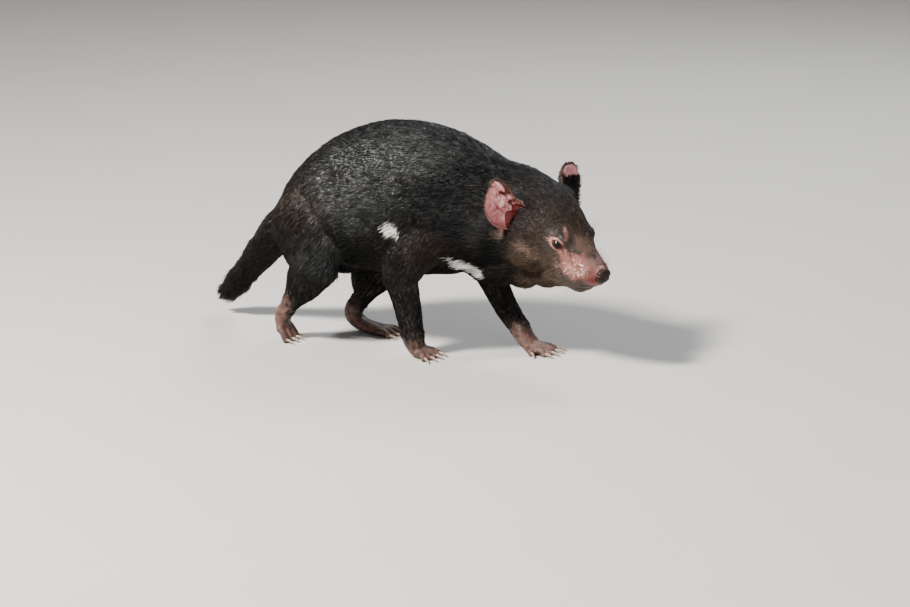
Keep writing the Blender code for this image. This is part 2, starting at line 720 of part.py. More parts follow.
def main():
    for obj in list(bpy.data.objects):
        bpy.data.objects.remove(obj)
    trunk = make_trunk()
    part_legs(trunk)
    dress_tail(part_trunk(trunk))
    whole = make_head()
    head = beyond(whole, head_point((HEAD_PLANE_BACK, 0, -20)), head_way((1, 0, 0)), "head_part")
    drop(whole)
    head.name = "head"
    make_ear(head, 1, "ear_left")
    make_ear(head, -1, "ear_right")
    for leg in FEET:
        make_foot(leg, ("forefoot_" if leg.startswith("fore") else "hindfoot_") + leg[5:])
    for obj in bpy.data.objects:
        obj.data.transform(Matrix.Translation(PLACE))
        finish(obj)


main()
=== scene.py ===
import math

import bmesh
import bpy
import numpy as np
from mathutils import Matrix, Vector
from mathutils.bvhtree import BVHTree
from mathutils.kdtree import KDTree


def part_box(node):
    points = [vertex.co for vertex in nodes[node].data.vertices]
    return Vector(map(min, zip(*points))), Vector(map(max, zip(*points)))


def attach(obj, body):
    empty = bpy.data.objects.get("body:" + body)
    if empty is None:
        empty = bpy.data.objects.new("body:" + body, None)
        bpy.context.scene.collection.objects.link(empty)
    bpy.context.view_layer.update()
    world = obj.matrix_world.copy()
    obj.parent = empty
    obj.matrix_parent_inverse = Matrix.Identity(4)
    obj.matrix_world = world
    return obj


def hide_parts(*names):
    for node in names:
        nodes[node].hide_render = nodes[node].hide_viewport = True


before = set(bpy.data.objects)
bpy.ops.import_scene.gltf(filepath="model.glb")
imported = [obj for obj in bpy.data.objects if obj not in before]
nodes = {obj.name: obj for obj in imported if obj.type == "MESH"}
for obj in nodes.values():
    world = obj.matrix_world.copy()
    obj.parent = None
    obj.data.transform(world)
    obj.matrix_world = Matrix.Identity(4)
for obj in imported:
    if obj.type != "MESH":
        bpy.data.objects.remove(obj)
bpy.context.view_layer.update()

# %% [markdown]
# ## Places on the animal
# The solids and the looks share one set of places. The head has its own frame, because the animal looks
# a little to its right and down: x runs to the nose, y to its left, z to the crown, in millimetres.
# %% The head's own frame
MM = 0.001
PLACE = Vector((-2.58, 0.89, 0.0)) * MM
EYES_AT = Vector((247.0, -20.0, 168.6)) * MM
HEAD_YAW, HEAD_PITCH, HEAD_ROLL = (math.radians(turn) for turn in (-19.6, 21.8, 5.4))

head_at = Matrix.Translation(PLACE + EYES_AT) @ Matrix.Rotation(HEAD_YAW, 4, "Z")
head_at = head_at @ Matrix.Rotation(HEAD_PITCH, 4, "Y") @ Matrix.Rotation(HEAD_ROLL, 4, "X")
HEAD_TURN = np.array(head_at.to_3x3())
HEAD_ZERO = np.array(head_at.translation)


def to_head(points):
    """World points, one a row, in the head's frame and in millimetres."""
    return (np.asarray(points) - HEAD_ZERO) @ HEAD_TURN / MM


def from_head(points):
    """Head points in millimetres, one a row, in the world."""
    return np.asarray(points, float) * MM @ HEAD_TURN.T + HEAD_ZERO


def mirrored(points):
    """The points with y taken without its sign."""
    return np.column_stack([points[:, 0], np.abs(points[:, 1]), points[:, 2]])


def to_segment(points, start, end):
    """How far along a segment the nearest place to each point lies, 0 to 1, and the distance to it."""
    start = np.array(start, float)
    run = end - start
    share = np.clip((points - start) @ run / (run @ run), 0, 1)
    return share, np.linalg.norm(points - start - share[:, None] * run, axis=1)


def unit(vectors):
    """Vectors of length one."""
    vectors = np.asarray(vectors, float)
    return vectors / np.maximum(np.linalg.norm(vectors, axis=-1, keepdims=True), 1e-9)


def head_way(x, y, z):
    """A direction of the head frame in the world."""
    return unit(HEAD_TURN @ np.array((x, y, z), float))


def smooth_step(values, low, high):
    """Runs from 0 at low to 1 at high with soft ends. High may be the smaller one."""
    t = np.clip((np.asarray(values, float) - low) / (high - low), 0.0, 1.0)
    return t * t * (3.0 - 2.0 * t)


print("eyes midway at", [round(v, 4) for v in head_at.translation])

# %% [markdown]
# ## Small tools
# Operators act on what is selected, so we always say exactly what that is first. Modifiers are applied
# one after another, and the coordinates of a mesh come and go as one block of numbers.
# %% Selecting, applying, reading and writing
def pick(*objects):
    """Selects only these objects, the first one active."""
    bpy.ops.object.select_all(action="DESELECT")
    for obj in objects:
        obj.select_set(True)
    bpy.context.view_layer.objects.active = objects[0]
    return objects[0]


def modify(obj, kind, **settings):
    """Adds one modifier and applies it."""
    pick(obj)
    modifier = obj.modifiers.new(kind.lower(), kind)
    for key, value in settings.items():
        setattr(modifier, key, value)
    bpy.ops.object.modifier_apply(modifier=modifier.name)
    return obj


def edit(obj, action, **settings):
    """Runs one edit mode operator on the whole mesh."""
    pick(obj)
    bpy.ops.object.mode_set(mode="EDIT")
    bpy.ops.mesh.select_all(action="SELECT")
    action(**settings)
    bpy.ops.object.mode_set(mode="OBJECT")
    return obj


def read(obj):
    """Vertex places and outward normals of a mesh."""
    places = np.empty(len(obj.data.vertices) * 3)
    obj.data.vertices.foreach_get("co", places)
    normals = np.empty(len(places))
    obj.data.vertices.foreach_get("normal", normals)
    return places.reshape(-1, 3), normals.reshape(-1, 3)


def write(obj, places):
    """Puts the vertices at these places."""
    obj.data.vertices.foreach_set("co", np.ascontiguousarray(places, float).ravel())
    obj.data.update()
    return obj


def triangles(obj):
    """How many triangles the object has."""
    return sum(len(face.vertices) - 2 for face in obj.data.polygons)


def start_from(primitive, name, **settings):
    """A new primitive at the origin, alone in the selection, under this name."""
    bpy.ops.object.select_all(action="DESELECT")
    primitive(location=(0, 0, 0), **settings)
    made = bpy.context.object
    made.name = name
    return made


def twin_of(node, name):
    """A merged copy of a CAD node's mesh as a new object."""
    twin = bpy.data.objects.new(name, nodes[node].data.copy())
    bpy.context.scene.collection.objects.link(twin)
    twin.data.materials.clear()
    return edit(twin, bpy.ops.mesh.remove_doubles, threshold=1e-6)


def swell(obj, amount):
    """Moves the surface out along its normals."""
    places, normals = read(obj)
    return write(obj, places + normals * amount)


# %% [markdown]
# ## One skin over all the flesh
# On the real animal nothing shows where the neck ends and the torso begins. So we copy every solid of
# flesh, let the copies overlap a little, and pull one voxel skin over the lot. Voxels fuse what touches,
# which neither a join nor a boolean does so evenly.
# %% Fuse the flesh
LIMB_PARTS = ("upper_arm", "forearm", "forefoot", "thigh", "shank", "hindfoot")
FLESH = ["torso", "neck", "head", "tail_root", "tail_end"]
FLESH += [part + "_" + side for side in ("left", "right") for part in LIMB_PARTS]
HEAD = FLESH.index("head")
TAIL = [FLESH.index("tail_root"), FLESH.index("tail_end")]
OVERLAP = 0.28 * MM
SKIN_VOXEL = 1.05 * MM
EYE_RADIUS = 7.6 * MM
EYE_SOCKET_FILL = 0.9 * MM
# Fills in the head's frame, middle and half sizes in mm: the snout under the nose pad, then the mirrored
# jowl, throat and chin, which hang lower and fuller than the solids.
FILLS = (
    ((57.0, 0.0, -15.5), (9.6, 11.2, 9.4)), ((1.0, 20.0, -44.5), (27.0, 14.5, 15.0)),
    ((-22.0, 14.0, -57.0), (32.0, 19.0, 19.0)), ((-60.0, 13.0, -77.0), (36.0, 22.0, 21.5)),
    ((27.0, 6.0, -44.0), (21.0, 13.0, 12.0)),
)
# Fills in the part's frame: the chest, the fold of the flank between the thighs, and the far thigh's back.
BODY_FILLS = (
    ((138.0, -2.0, 124.0), (46.0, 35.0, 29.0)), ((-78.0, 0.0, 108.0), (28.0, 26.0, 19.0)),
    ((-76.0, 46.0, 73.0), (18.0, 13.0, 30.0)),
)
SIDES = {"right": -1, "left": 1}


def eye_middle(side):
    """The middle of an eye, from its solid."""
    low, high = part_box("eye_" + side)
    return np.array((low + high) / 2)


def ball(middle, half, to_world):
    """A ball of flesh with this middle and these half sizes, brought into the world by a function."""
    made = start_from(bpy.ops.mesh.primitive_uv_sphere_add, "fill", segments=32, ring_count=20, radius=1.0)
    return write(made, to_world(read(made)[0] * half + np.array(middle)))


def from_part(points):
    """Points of the part's frame in millimetres, one a row, in the world."""
    return points * MM + np.array(PLACE)


def fuse_flesh():
    """One closed skin over the flesh, before it is thinned and shaped."""
    parts = [swell(twin_of(node, "flesh_" + node), OVERLAP) for node in FLESH]
    parts += [ball(eye_middle(side), EYE_RADIUS + EYE_SOCKET_FILL, np.array) for side in SIDES]
    for middle, half in BODY_FILLS:
        parts.append(ball(middle, half, from_part))
    for (x, y, z), half in FILLS:
        parts += [ball((x, y * sign, z), half, from_head) for sign in ((-1, 1) if y else (1,))]
    pick(*parts)
    bpy.ops.object.join()
    skin = bpy.context.object
    skin.name = "skin"
    modify(skin, "REMESH", mode="VOXEL", voxel_size=SKIN_VOXEL)
    return skin


def keep_largest(obj):
    """Drops every loose island but the largest."""
    bm = bmesh.new()
    bm.from_mesh(obj.data)
    left, best = set(bm.verts), set()
    while left:
        seed = left.pop()
        island, edge = {seed}, [seed]
        while edge:
            for link in edge.pop().link_edges:
                for vertex in link.verts:
                    if vertex in left:
                        left.discard(vertex)
                        island.add(vertex)
                        edge.append(vertex)
        if len(island) > len(best):
            best = island
    spare = [vertex for vertex in bm.verts if vertex not in best]
    bmesh.ops.delete(bm, geom=spare, context="VERTS")
    bm.to_mesh(obj.data)
    bm.free()
    return obj


skin = keep_largest(fuse_flesh())
print("fused skin:", len(skin.data.vertices), "vertices")

# %% [markdown]
# ## Which part each point of skin belongs to
# The coat is long on the flank and short on the shin, so each vertex of the skin takes its part from the
# nearest solid. Numbers that go with a part are then spread over the neighbours until they run smoothly.
# %% Parts and spreading
def part_tree():
    """A search tree of points on the solids, and the part that each point belongs to."""
    points, owners = [], []
    for index, node in enumerate(FLESH):
        places, _ = read(nodes[node])
        corners = places.reshape(-1, 3)
        faces = np.array([tuple(face.vertices)[:3] for face in nodes[node].data.polygons])
        centres = corners[faces].mean(axis=1)
        halves = (corners[faces] + corners[np.roll(faces, 1, axis=1)]).reshape(-1, 3) / 2
        own = np.vstack([centres, halves])
        points.append(own)
        owners.append(np.full(len(own), index))
    points, owners = np.vstack(points), np.concatenate(owners)
    tree = KDTree(len(points))
    for index, point in enumerate(points):
        tree.insert(point, index)
    tree.balance()
    return tree, owners


def parts_of(obj):
    """The part of every vertex, as an index into FLESH."""
    tree, owners = part_tree()
    places, _ = read(obj)
    return np.array([owners[tree.find(point)[1]] for point in places])


def edges_of(obj):
    """The two vertices of every edge."""
    pairs = np.empty(len(obj.data.edges) * 2, int)
    obj.data.edges.foreach_get("vertices", pairs)
    return pairs.reshape(-1, 2)


def spread(values, pairs, rounds):
    """Averages values, one a vertex, with their neighbours again and again."""
    values = np.array(values, float)
    flat = values.ndim == 1
    if flat:
        values = values[:, None]
    count = len(values)
    ends = np.concatenate([pairs[:, 0], pairs[:, 1]])
    others = np.concatenate([pairs[:, 1], pairs[:, 0]])
    links = np.maximum(np.bincount(ends, minlength=count), 1)
    for _ in range(rounds):
        for k in range(values.shape[1]):
            near = np.bincount(ends, weights=values[others, k], minlength=count) / links
            values[:, k] = (values[:, k] + near) / 2
    return values[:, 0] if flat else values


def group(obj, name, weights):
    """A vertex group with a weight for each vertex, in steps of a tenth."""
    made = obj.vertex_groups.new(name=name)
    steps = np.round(np.clip(weights, 0, 1) * 10).astype(int)
    for step in range(1, 11):
        made.add(np.flatnonzero(steps == step).tolist(), step / 10, "REPLACE")
    return made


# %% [markdown]
# ## Smooth and thin the skin
# The facets of the solids would glint through the coat, so the body is smoothed a good deal, the face and
# feet hardly at all. Then the skin's faces are thinned.
# %% Smooth and thin
SKIN_TRIANGLES = 165000
FINE_PARTS = ("head", "forefoot_left", "forefoot_right", "hindfoot_left", "hindfoot_right")
JAW_PARTS = ("head", "neck", "torso")
# How many rounds of smoothing the whole skin, the body and the underside of the jaw and throat get.
SMOOTHING = {"": 3, "body": 45, "jaw": 200}

# Part: length of the coat in mm, how far it stands up in degrees, how far the skin lies in, in mm.
COAT = {
    "torso": (13.5, 12.0, 2.7), "neck": (13.0, 13.0, 2.6), "head": (7.5, 12.0, 1.5),
    "tail_root": (18.0, 12.0, 2.6), "tail_end": (26.0, 14.0, 3.4), "upper_arm": (11.0, 12.0, 2.2),
    "forearm": (7.6, 12.0, 1.3), "forefoot": (3.2, 12.0, 0.3), "thigh": (13.0, 12.0, 2.5),
    "shank": (8.5, 12.0, 1.4), "hindfoot": (3.4, 12.0, 0.3),
}


def coat_of(node, column):
    """A number of the coat's table for a node, left and right alike."""
    key = node if node in COAT else node.rsplit("_", 1)[0]
    return COAT[key][column]


def by_part(owners, column):
    """A number of the coat's table for every vertex."""
    return np.array([coat_of(node, column) for node in FLESH])[owners]


owners = parts_of(skin)
fine = np.isin(owners, [FLESH.index(node) for node in FINE_PARTS]).astype(float)
body = 1.0 - smooth_step(spread(fine, edges_of(skin), 12), 0.02, 0.5)
x, _, z = to_head(read(skin)[0]).T
jaw = smooth_step(z, -26, -38) * smooth_step(x, 44, 30) * smooth_step(x, -125, -100)
jaw = spread(jaw * np.isin(owners, [FLESH.index(node) for node in JAW_PARTS]), edges_of(skin), 12)
group(skin, "jaw", jaw)
group(skin, "body", body)
for name, rounds in SMOOTHING.items():
    modify(skin, "SMOOTH", factor=0.5, iterations=rounds, vertex_group=name)
modify(skin, "DECIMATE", ratio=SKIN_TRIANGLES / triangles(skin))
skin.vertex_groups.clear()
print("thinned skin:", triangles(skin), "triangles")

# %% [markdown]
# ## Room for the lids and the coat
# Lids need finer faces than the rest of the skin, so those round the eyes are cut in four. Then the whole
# skin goes in by about the depth of its coat, because the solids reach to the tips of the hair.
# %% Finer skin at the eyes
LID_HALF = (7.3, 5.0)
LID_PINCH = 0.30
LID_RIM = 1.15
LID_SLANT = 0.24
EYE_GAZE = (0.50, 0.82, 0.24)
FINER_ROUND_EYE = 15.0 * MM


def eye_axes(side):
    """The gaze, the way to the nose and the way up at an eye."""
    sign = SIDES[side]
    gaze = head_way(EYE_GAZE[0], EYE_GAZE[1] * sign, EYE_GAZE[2])
    up = head_way(0, 0, 1)
    up = unit(up - gaze * (up @ gaze))
    ahead = np.cross(up, gaze)
    ahead = ahead * np.sign(ahead @ head_way(1, 0, 0))
    return gaze, ahead, up


def finer_near(obj, middle, radius):
    """Subdivides the faces near a place once."""
    pick(obj)
    bpy.ops.object.mode_set(mode="EDIT")
    bpy.ops.mesh.select_all(action="DESELECT")
    bm = bmesh.from_edit_mesh(obj.data)
    for face in bm.faces:
        if (face.calc_center_median() - Vector(middle)).length < radius:
            face.select_set(True)
    bmesh.update_edit_mesh(obj.data)
    bpy.ops.mesh.subdivide(number_cuts=1, smoothness=0.6)
    bpy.ops.object.mode_set(mode="OBJECT")


for side in SIDES:
    finer_near(skin, eye_middle(side), FINER_ROUND_EYE)
edit(skin, bpy.ops.mesh.quads_convert_to_tris)
owners = parts_of(skin)
pairs = edges_of(skin)
print("skin with finer lids:", triangles(skin), "triangles")

# %% Set in by the coat's depth, with less on the face
def bare_face(local):
    """How bare the face is, 1 at the nose and lids and 0 from the cheeks back."""
    snout = smooth_step(local[:, 0], 4.0, 34.0)
    return np.maximum(snout, eye_nearness(local, 11.0, 20.0))


def eye_nearness(local, near, far):
    """1 within the near distance of an eye and 0 beyond the far one, in millimetres."""
    found = np.zeros(len(local))
    for side in SIDES:
        middle = to_head(eye_middle(side)[None])[0]
        found = np.maximum(found, smooth_step(np.linalg.norm(local - middle, axis=1), far, near))
    return found


places, normals = read(skin)
local = to_head(places)
is_head = owners == HEAD
depth = by_part(owners, 2)
depth = np.where(is_head, depth * (1 - 0.85 * bare_face(local)), depth)
depth = spread(depth, pairs, 30)
normals = unit(spread(normals, pairs, 6))
write(skin, places - normals * depth[:, None] * MM)
print("skin set in by up to", round(float(depth.max()), 2), "mm")

# %% [markdown]
# ## The end of the tail
# Long hair will stand for the tip, so the skin's tip is drawn in. The solid tapers, but the flesh under the
# hair keeps its thickness almost to its end: points nearer to the tail's middle line are moved out to it.
# %% Draw the tip of the tail in and keep the tail thick to its end
TAIL_WAY = (-0.68, 0.33, -0.64)
TAIL_SLICE, TAIL_SLICES = 4 * MM, 31
TAIL_SWELL = (95 * MM, 45 * MM)
TAIL_DRAWN, TAIL_REACH = 14.0 * MM, 62.0 * MM
TAIL_THICK, TAIL_BLUNT = 13.0 * MM, 30.0 * MM

places, _ = read(skin)
on_tail = np.isin(owners, TAIL)
along = places @ unit(TAIL_WAY)
from_tip = along[on_tail].max() - along
drawn = TAIL_DRAWN * (1 - smooth_step(from_tip, 0.0, TAIL_REACH)) * on_tail
places = places - drawn[:, None] * unit(TAIL_WAY)
tail = np.flatnonzero(on_tail)
along = places[tail] @ unit(TAIL_WAY)
from_tip = along.max() - along
step = np.minimum((from_tip / TAIL_SLICE).astype(int), TAIL_SLICES - 1)
inside = np.zeros((TAIL_SLICES, 3))
for k in range(TAIL_SLICES):
    if (step == k).any():
        inside[k] = places[tail][step == k].mean(axis=0)
at = np.clip(from_tip / TAIL_SLICE - 0.5, 0, TAIL_SLICES - 1.001)
low, part = at.astype(int), (at % 1)[:, None]
out = places[tail] - inside[low] * (1 - part) - inside[low + 1] * part
out = out - (out @ unit(TAIL_WAY))[:, None] * unit(TAIL_WAY)
reach = np.linalg.norm(out, axis=1)
wanted = TAIL_THICK * np.sqrt(1 - np.clip(1 - from_tip / TAIL_BLUNT, 0, 1) ** 2)
wanted = np.maximum(wanted - reach, 0) * smooth_step(from_tip, *TAIL_SWELL)
places[tail] += unit(out) * wanted[:, None]
write(skin, places)
print("tail tip at x", round(float(places[:, 0].min()), 4))

# %% [markdown]
# ## Lids
# Lids are what makes an eye look alive. Round each eyeball the skin is pushed to a rim that stands a
# millimetre over the ball, with an almond opening whose inner corner points to the nose, and a crease
# behind the rim.
# %% Lids
# The rim's swelling and the crease behind it: height in mm, how far out, half width.
LID_SWELL, LID_CREASE = (0.35, 1.22, 0.14), (0.55, 1.62, 0.12)


def bell(values, shape):
    """A bell of a height, a middle and a half width."""
    high, middle, half = shape
    return high * np.exp(-((values - middle) / half) ** 2)


def lid_opening(places, side):
    """How far a point is out of the lids' opening, 1 at the rim, with its offset from the eye in mm."""
    _, ahead, up = eye_axes(side)
    offset = (places - eye_middle(side)) / MM
    along = offset @ ahead
    high = offset @ up + LID_SLANT * along
    pinch = 1 + LID_PINCH * (along / LID_HALF[0]) ** 2
    return np.hypot(along / LID_HALF[0], high / LID_HALF[1] * pinch), high, offset


def shape_lids(places, side):
    """The places with the skin round one eye pushed to its lids."""
    middle = eye_middle(side)
    opening, high, offset = lid_opening(places, side)
    out = offset @ eye_axes(side)[0]
    reach = np.linalg.norm(offset, axis=1)
    ball = EYE_RADIUS / MM
    rim = ball + LID_RIM
    target = np.where(opening < 1.6, rim, rim - 0.5 * smooth_step(opening, 1.6, 1.9))
    target = target + bell(opening, LID_SWELL) - bell(opening, LID_CREASE) * (high > -2.0)
    inside = smooth_step(opening, 1.04, 0.90)
    target = target * (1 - inside) + (ball - 1.4) * inside
    weight = smooth_step(opening, 2.5, 1.6) * (out > 1.0) * (reach < 16.0)
    moved = middle + offset / np.maximum(reach, 1e-6)[:, None] * target[:, None] * MM
    return places + (moved - places) * weight[:, None]


places, _ = read(skin)
for side in SIDES:
    places = shape_lids(places, side)
write(skin, places)
print("lids on", len(SIDES), "eyes")

# %% [markdown]
# ## The shape of an ear
# An ear opens forwards and out like a shell. Two curves in the head's frame are its edges, and between them
# the sheet sinks into a bowl. The skin of the head needs the same numbers, because the floor of the ear,
# bare and folded, is part of that skin.
# %% Ear table
# Root to tip: outer edge, upper edge, and depth of the bowl between them. Here y runs away from the middle.
EAR = {
    "right": (
        ((-51.4, 51, -4.6), (-45.9, 42.2, 30.3), 19), ((-54.7, 64.2, -2.2), (-51.2, 53.2, 37.5), 21),
        ((-62.5, 77.7, 3.5), (-55.7, 61.8, 48.8), 19), ((-69.1, 86, 15.1), (-59.7, 68.6, 58.5), 14),
        ((-73.8, 89.6, 29.5), (-64.4, 73.5, 63.9), 9), ((-75.1, 89.1, 42.5), (-70.1, 77.2, 65.5), 4.5),
        ((-77, 83.7, 56.7), (-75, 79, 63.9), 1.5),
    ),
    "left": (
        ((-43, 50.6, 3.9), (-58, 40.6, 24.7), 12), ((-49.2, 61.6, 4.7), (-70.1, 48.9, 27.4), 12),
        ((-61.5, 74.1, 6.2), (-81.5, 56.4, 32.3), 11), ((-73, 83.6, 10.6), (-89.8, 64.1, 36.7), 9),
        ((-82.2, 89.9, 16.4), (-94.8, 71.5, 38.3), 7), ((-88, 92.4, 23.8), (-96.2, 79.7, 36.9), 6),
        ((-92.5, 92.4, 30.9), (-94.9, 87.3, 35.2), 2.5),
    ),
}
EAR_FACING = {"right": (0.78, 0.62, 0.08), "left": (0.57, 0.52, 0.64)}
# Black fur covers the inside where the height is below this share, less a part of the share across.
EAR_FURRED, EAR_FUR_SLANT = {"right": -0.5, "left": 0.77}, 0.41
EAR_ROWS, EAR_COLUMNS = 128, 112
EAR_WALL = 1.6 * MM
# Ridges, and grooves where the height is negative: start and end as shares across and up the sheet,
# half width as a share, height in mm.
EAR_RIDGES = (
    ((0.90, 0.92), (0.90, 0.30), 0.045, -2.0), ((0.80, 0.80), (0.80, 0.52), 0.030, 1.7),
    ((0.62, 0.78), (0.66, 0.60), 0.026, -1.4), ((0.50, 0.74), (0.56, 0.52), 0.045, 0.8),
    ((0.70, 0.44), (0.90, 0.36), 0.034, -2.2), ((0.62, 0.52), (0.78, 0.46), 0.028, -1.8),
    ((0.46, 0.34), (0.66, 0.34), 0.055, 2.2), ((0.34, 0.26), (0.36, 0.50), 0.022, -1.1),
    ((0.10, 0.46), (0.34, 0.36), 0.014, -0.5), ((0.08, 0.38), (0.30, 0.28), 0.014, -0.5),
    ((0.12, 0.56), (0.36, 0.48), 0.014, -0.5), ((0.14, 0.66), (0.36, 0.60), 0.014, -0.4),
    ((0.14, 0.20), (0.32, 0.20), 0.045, 1.6), ((0.78, 0.32), (0.95, 0.28), 0.028, 2.2),
    ((0.58, 0.24), (0.94, 0.20), 0.030, -2.4), ((0.40, 0.12), (0.60, 0.16), 0.030, 1.8),
)
# The size of the coarse and the fine crinkles round the canal, as shares of the sheet.
EAR_CRINKLE, EAR_FINE_CRINKLE = 0.42, 0.17
# The floor of the ear on the head: the line between its edges, how deep the floor lies, and its folds as
# shares along that line, millimetres behind it, half width and height in mm.
FLOOR_LINE = {"right": ((-56.5, 60, -8), (-50.9, 40, 31)), "left": ((-48, 57, 2), (-68, 44, 26))}
FLOOR_FACING = {"right": (0.96, 0.27, 0.0), "left": (0.72, 0.40, 0.56)}
FLOOR_DEEP = 2.2
FLOOR_FOLDS = (
    ((0.62, 4.0), (0.60, 14.0), 1.8, -3.2), ((0.30, 6.0), (0.42, 12.0), 2.2, 1.8),
    ((0.84, 3.0), (0.80, 9.0), 1.5, 1.6), ((0.10, 5.0), (0.16, 10.0), 1.8, 1.4),
    ((0.46, 1.5), (0.52, 8.0), 1.2, -1.6), ((0.70, 1.0), (0.92, 1.0), 1.3, 1.2),
)


def ear_furred(across, up, side):
    """How furred the inside of an ear is at shares across and up it."""
    return smooth_step(up + EAR_FUR_SLANT * across, EAR_FURRED[side] + 0.05, EAR_FURRED[side] - 0.05)


def ear_floor(places, side):
    """How far a point lies in the floor of an ear, 0 to 1, and the folds there in mm."""
    local = to_head(places) * (1, SIDES[side], 1)
    low, high = (np.array(end, float) for end in FLOOR_LINE[side])
    run = high - low
    long = np.linalg.norm(run)
    share = (local - low) @ run / long**2
    behind = -(local - low) @ unit(FLOOR_FACING[side])
    cup = 21 * np.sqrt(np.clip(1 - 0.97 * (2 * share - 1) ** 2, 0, 1))
    inside = smooth_step(behind, -1.0, 0.8) * smooth_step(cup + 3 - behind, 0, 2) * (local[:, 1] > 20)
    inside = inside * smooth_step(share, -0.04, 0.03) * smooth_step(share, 1.04, 0.97)
    folds = np.zeros(len(places))
    at = np.column_stack([share * long, behind])
    for start, end, half, tall in FLOOR_FOLDS:
        _, away = to_segment(at, (start[0] * long, start[1]), (end[0] * long, end[1]))
        folds += tall * np.exp(-(away / half) ** 2)
    return inside, folds * inside


# %% [markdown]
# ## Folds of the face
# A fold is a polyline in the head's frame, mirrored to both sides. Near it the skin sinks by a depth that
# fades like a bell. A negative depth raises a ridge instead, as for the follicle mounds on the muzzle.
# %% Folds and mounds
# Name: line of points (x, |y|, z), half width, depth in mm.
MOUTH = ((67, 0, -31.5), (60, 9, -32), (48, 18, -34), (32, 24, -38), (14, 30, -42), (-4, 38, -45))
FOLDS = {
    "mouth": (MOUTH, 1.5, 1.1),
    "under_eye": (((17, 27, -6), (12, 34, -9), (3, 40, -9), (-6, 43, -5)), 1.1, 0.55),
    "inner_corner": (((14, 29, 0), (21, 24, -3), (28, 20, -6)), 1.3, 0.5),
    "brow": (((16, 24, 12), (8, 30, 16), (-3, 36, 14)), 1.6, 0.5),
    "nose_wing": (((52, 8, -6), (55, 13, -12), (57, 13, -21), (60, 9, -27)), 1.2, 0.7),
    "muzzle_top": (((50, 5, -3), (40, 9, 1), (30, 11, 5)), 2.0, 0.35),
    "corner": (((-4, 38, -45), (-9, 42, -40), (-13, 45, -33)), 1.8, 0.6),
}
MOUND_ROWS, MOUND_COLUMNS = 5, 6
MOUND_FIRST, MOUND_BACK, MOUND_DOWN = (50.0, 19.0, -9.0), (-5.0, 0.5, 0.3), (-1.4, 1.3, -4.4)
MOUND_HEIGHT, MOUND_HALF = 0.65, 1.55


def line_distance(local, line):
    """The distance in mm from head points to a mirrored polyline."""
    points = mirrored(local)
    return np.min([to_segment(points, a, b)[1] for a, b in zip(line[:-1], line[1:])], axis=0)


def mound_places():
    """The whisker follicles of one side of the muzzle in the head's frame, with y positive."""
    found = []
    for row in range(MOUND_ROWS):
        for column in range(MOUND_COLUMNS - (row == 0)):
            found.append(np.array(MOUND_FIRST) + column * np.array(MOUND_BACK) + row * np.array(MOUND_DOWN))
    return np.array(found) + np.random.default_rng(2).normal(size=(len(found), 3)) * (1.0, 0.0, 0.8)


def surface_tree(obj):
    """A tree that answers where the surface of an object is."""
    return BVHTree.FromObject(obj, bpy.context.evaluated_depsgraph_get())


def press(obj):
    """Presses the folds into the skin and raises the follicle mounds."""
    places, normals = read(obj)
    local = to_head(places)
    on_face = local[:, 0] > -30
    move = np.zeros(len(places))
    for line, half, deep in FOLDS.values():
        move -= deep * np.exp(-(line_distance(local, line) / half) ** 2) * on_face
    for side in SIDES:
        inside, folds = ear_floor(places, side)
        move += folds - FLOOR_DEEP * inside
    tree = surface_tree(obj)
    mounds = np.zeros(len(places))
    for sign in SIDES.values():
        for mound in mound_places():
            at = tree.find_nearest(Vector(from_head((mound * (1, sign, 1))[None])[0]))[0]
            distance = np.linalg.norm(places - np.array(at), axis=1) / MM
            mounds += np.exp(-(distance / MOUND_HALF) ** 2)
    write(obj, places + normals * (move + MOUND_HEIGHT * mounds)[:, None] * MM)
    return mounds


mounds = press(skin)
skin.data.shade_smooth()
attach(skin, "root")
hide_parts(*FLESH)
print("skin finished:", triangles(skin), "triangles,", len(FOLDS), "folds")

# %% [markdown]
# ## Markings
# Skin and coat share the same markings. Each marking is a number from 0 to 1 at a point, worked out once
# here from its place, so that the skin's vertices and the roots of the tufts read the same pattern.
# %% Where the marks are
# The white spot on the right flank: x and z of its middle, half width and half height in mm.
FLANK_SPOT = (29.6, 174.0, 10.0, 9.0)
# The chest band: x, |y|, z and half width in mm.
CHEST_BAND = (
    (90, 57, 140, 0.0), (103, 50.5, 136.5, 3.8), (112, 38.5, 128, 9.8), (121, 32.5, 119.5, 10.5),
    (129, 32, 115, 9.0),
)
# The pale path from eye to muzzle, the mark over the right eye, and the tan patch of the cheek.
TO_MUZZLE = ((13, 28, -3), (20, 26, -7), (28, 24, -12))
BROW_MARK = ((1.5, 17.5, 20.9), (7.7, 19.4, 16.3), (12.4, 24, 13))
CHEEK_PATCH = ((-31, 52, -14), (-18, 49, -16), (-11, 46, -22))
# Part: height in mm below which it is bare, and above which it is haired.
BARE_LEGS = {
    "forefoot_right": (4.0, 30.0), "forearm_right": (4.0, 30.0), "forefoot_left": (20.0, 48.0),
    "forearm_left": (20.0, 48.0), "hindfoot_right": (46.0, 74.0), "shank_right": (46.0, 74.0),
    "hindfoot_left": (30.0, 58.0), "shank_left": (30.0, 58.0),
}
# Where grey sheen is painted on the coat, which is also glossier there: middle in the part's frame with
# |y|, half sizes in mm, and how much.
SHEENS = (
    ((-30, 80, 225), (74, 60, 62), 1.0), ((35, 45, 268), (66, 50, 40), 0.8),
    ((163, 55, 166), (32, 42, 32), 1.0), ((-85, 75, 125), (42, 40, 44), 0.55),
    ((60, 66, 110), (40, 40, 60), 0.35),
)
# The heel, skin of the hind legs that faces this way, is bare higher up: the first number less the second.
HEEL_WAY, HEEL_HIGHER, HEEL_LESS = np.array((-0.85, -0.35, 0.0)), 26, 14


def oval(points, middle, half):
    """How far points are out of an oval: 0 in its middle, 1 at its half sizes."""
    return np.linalg.norm((points - middle) / half, axis=1)


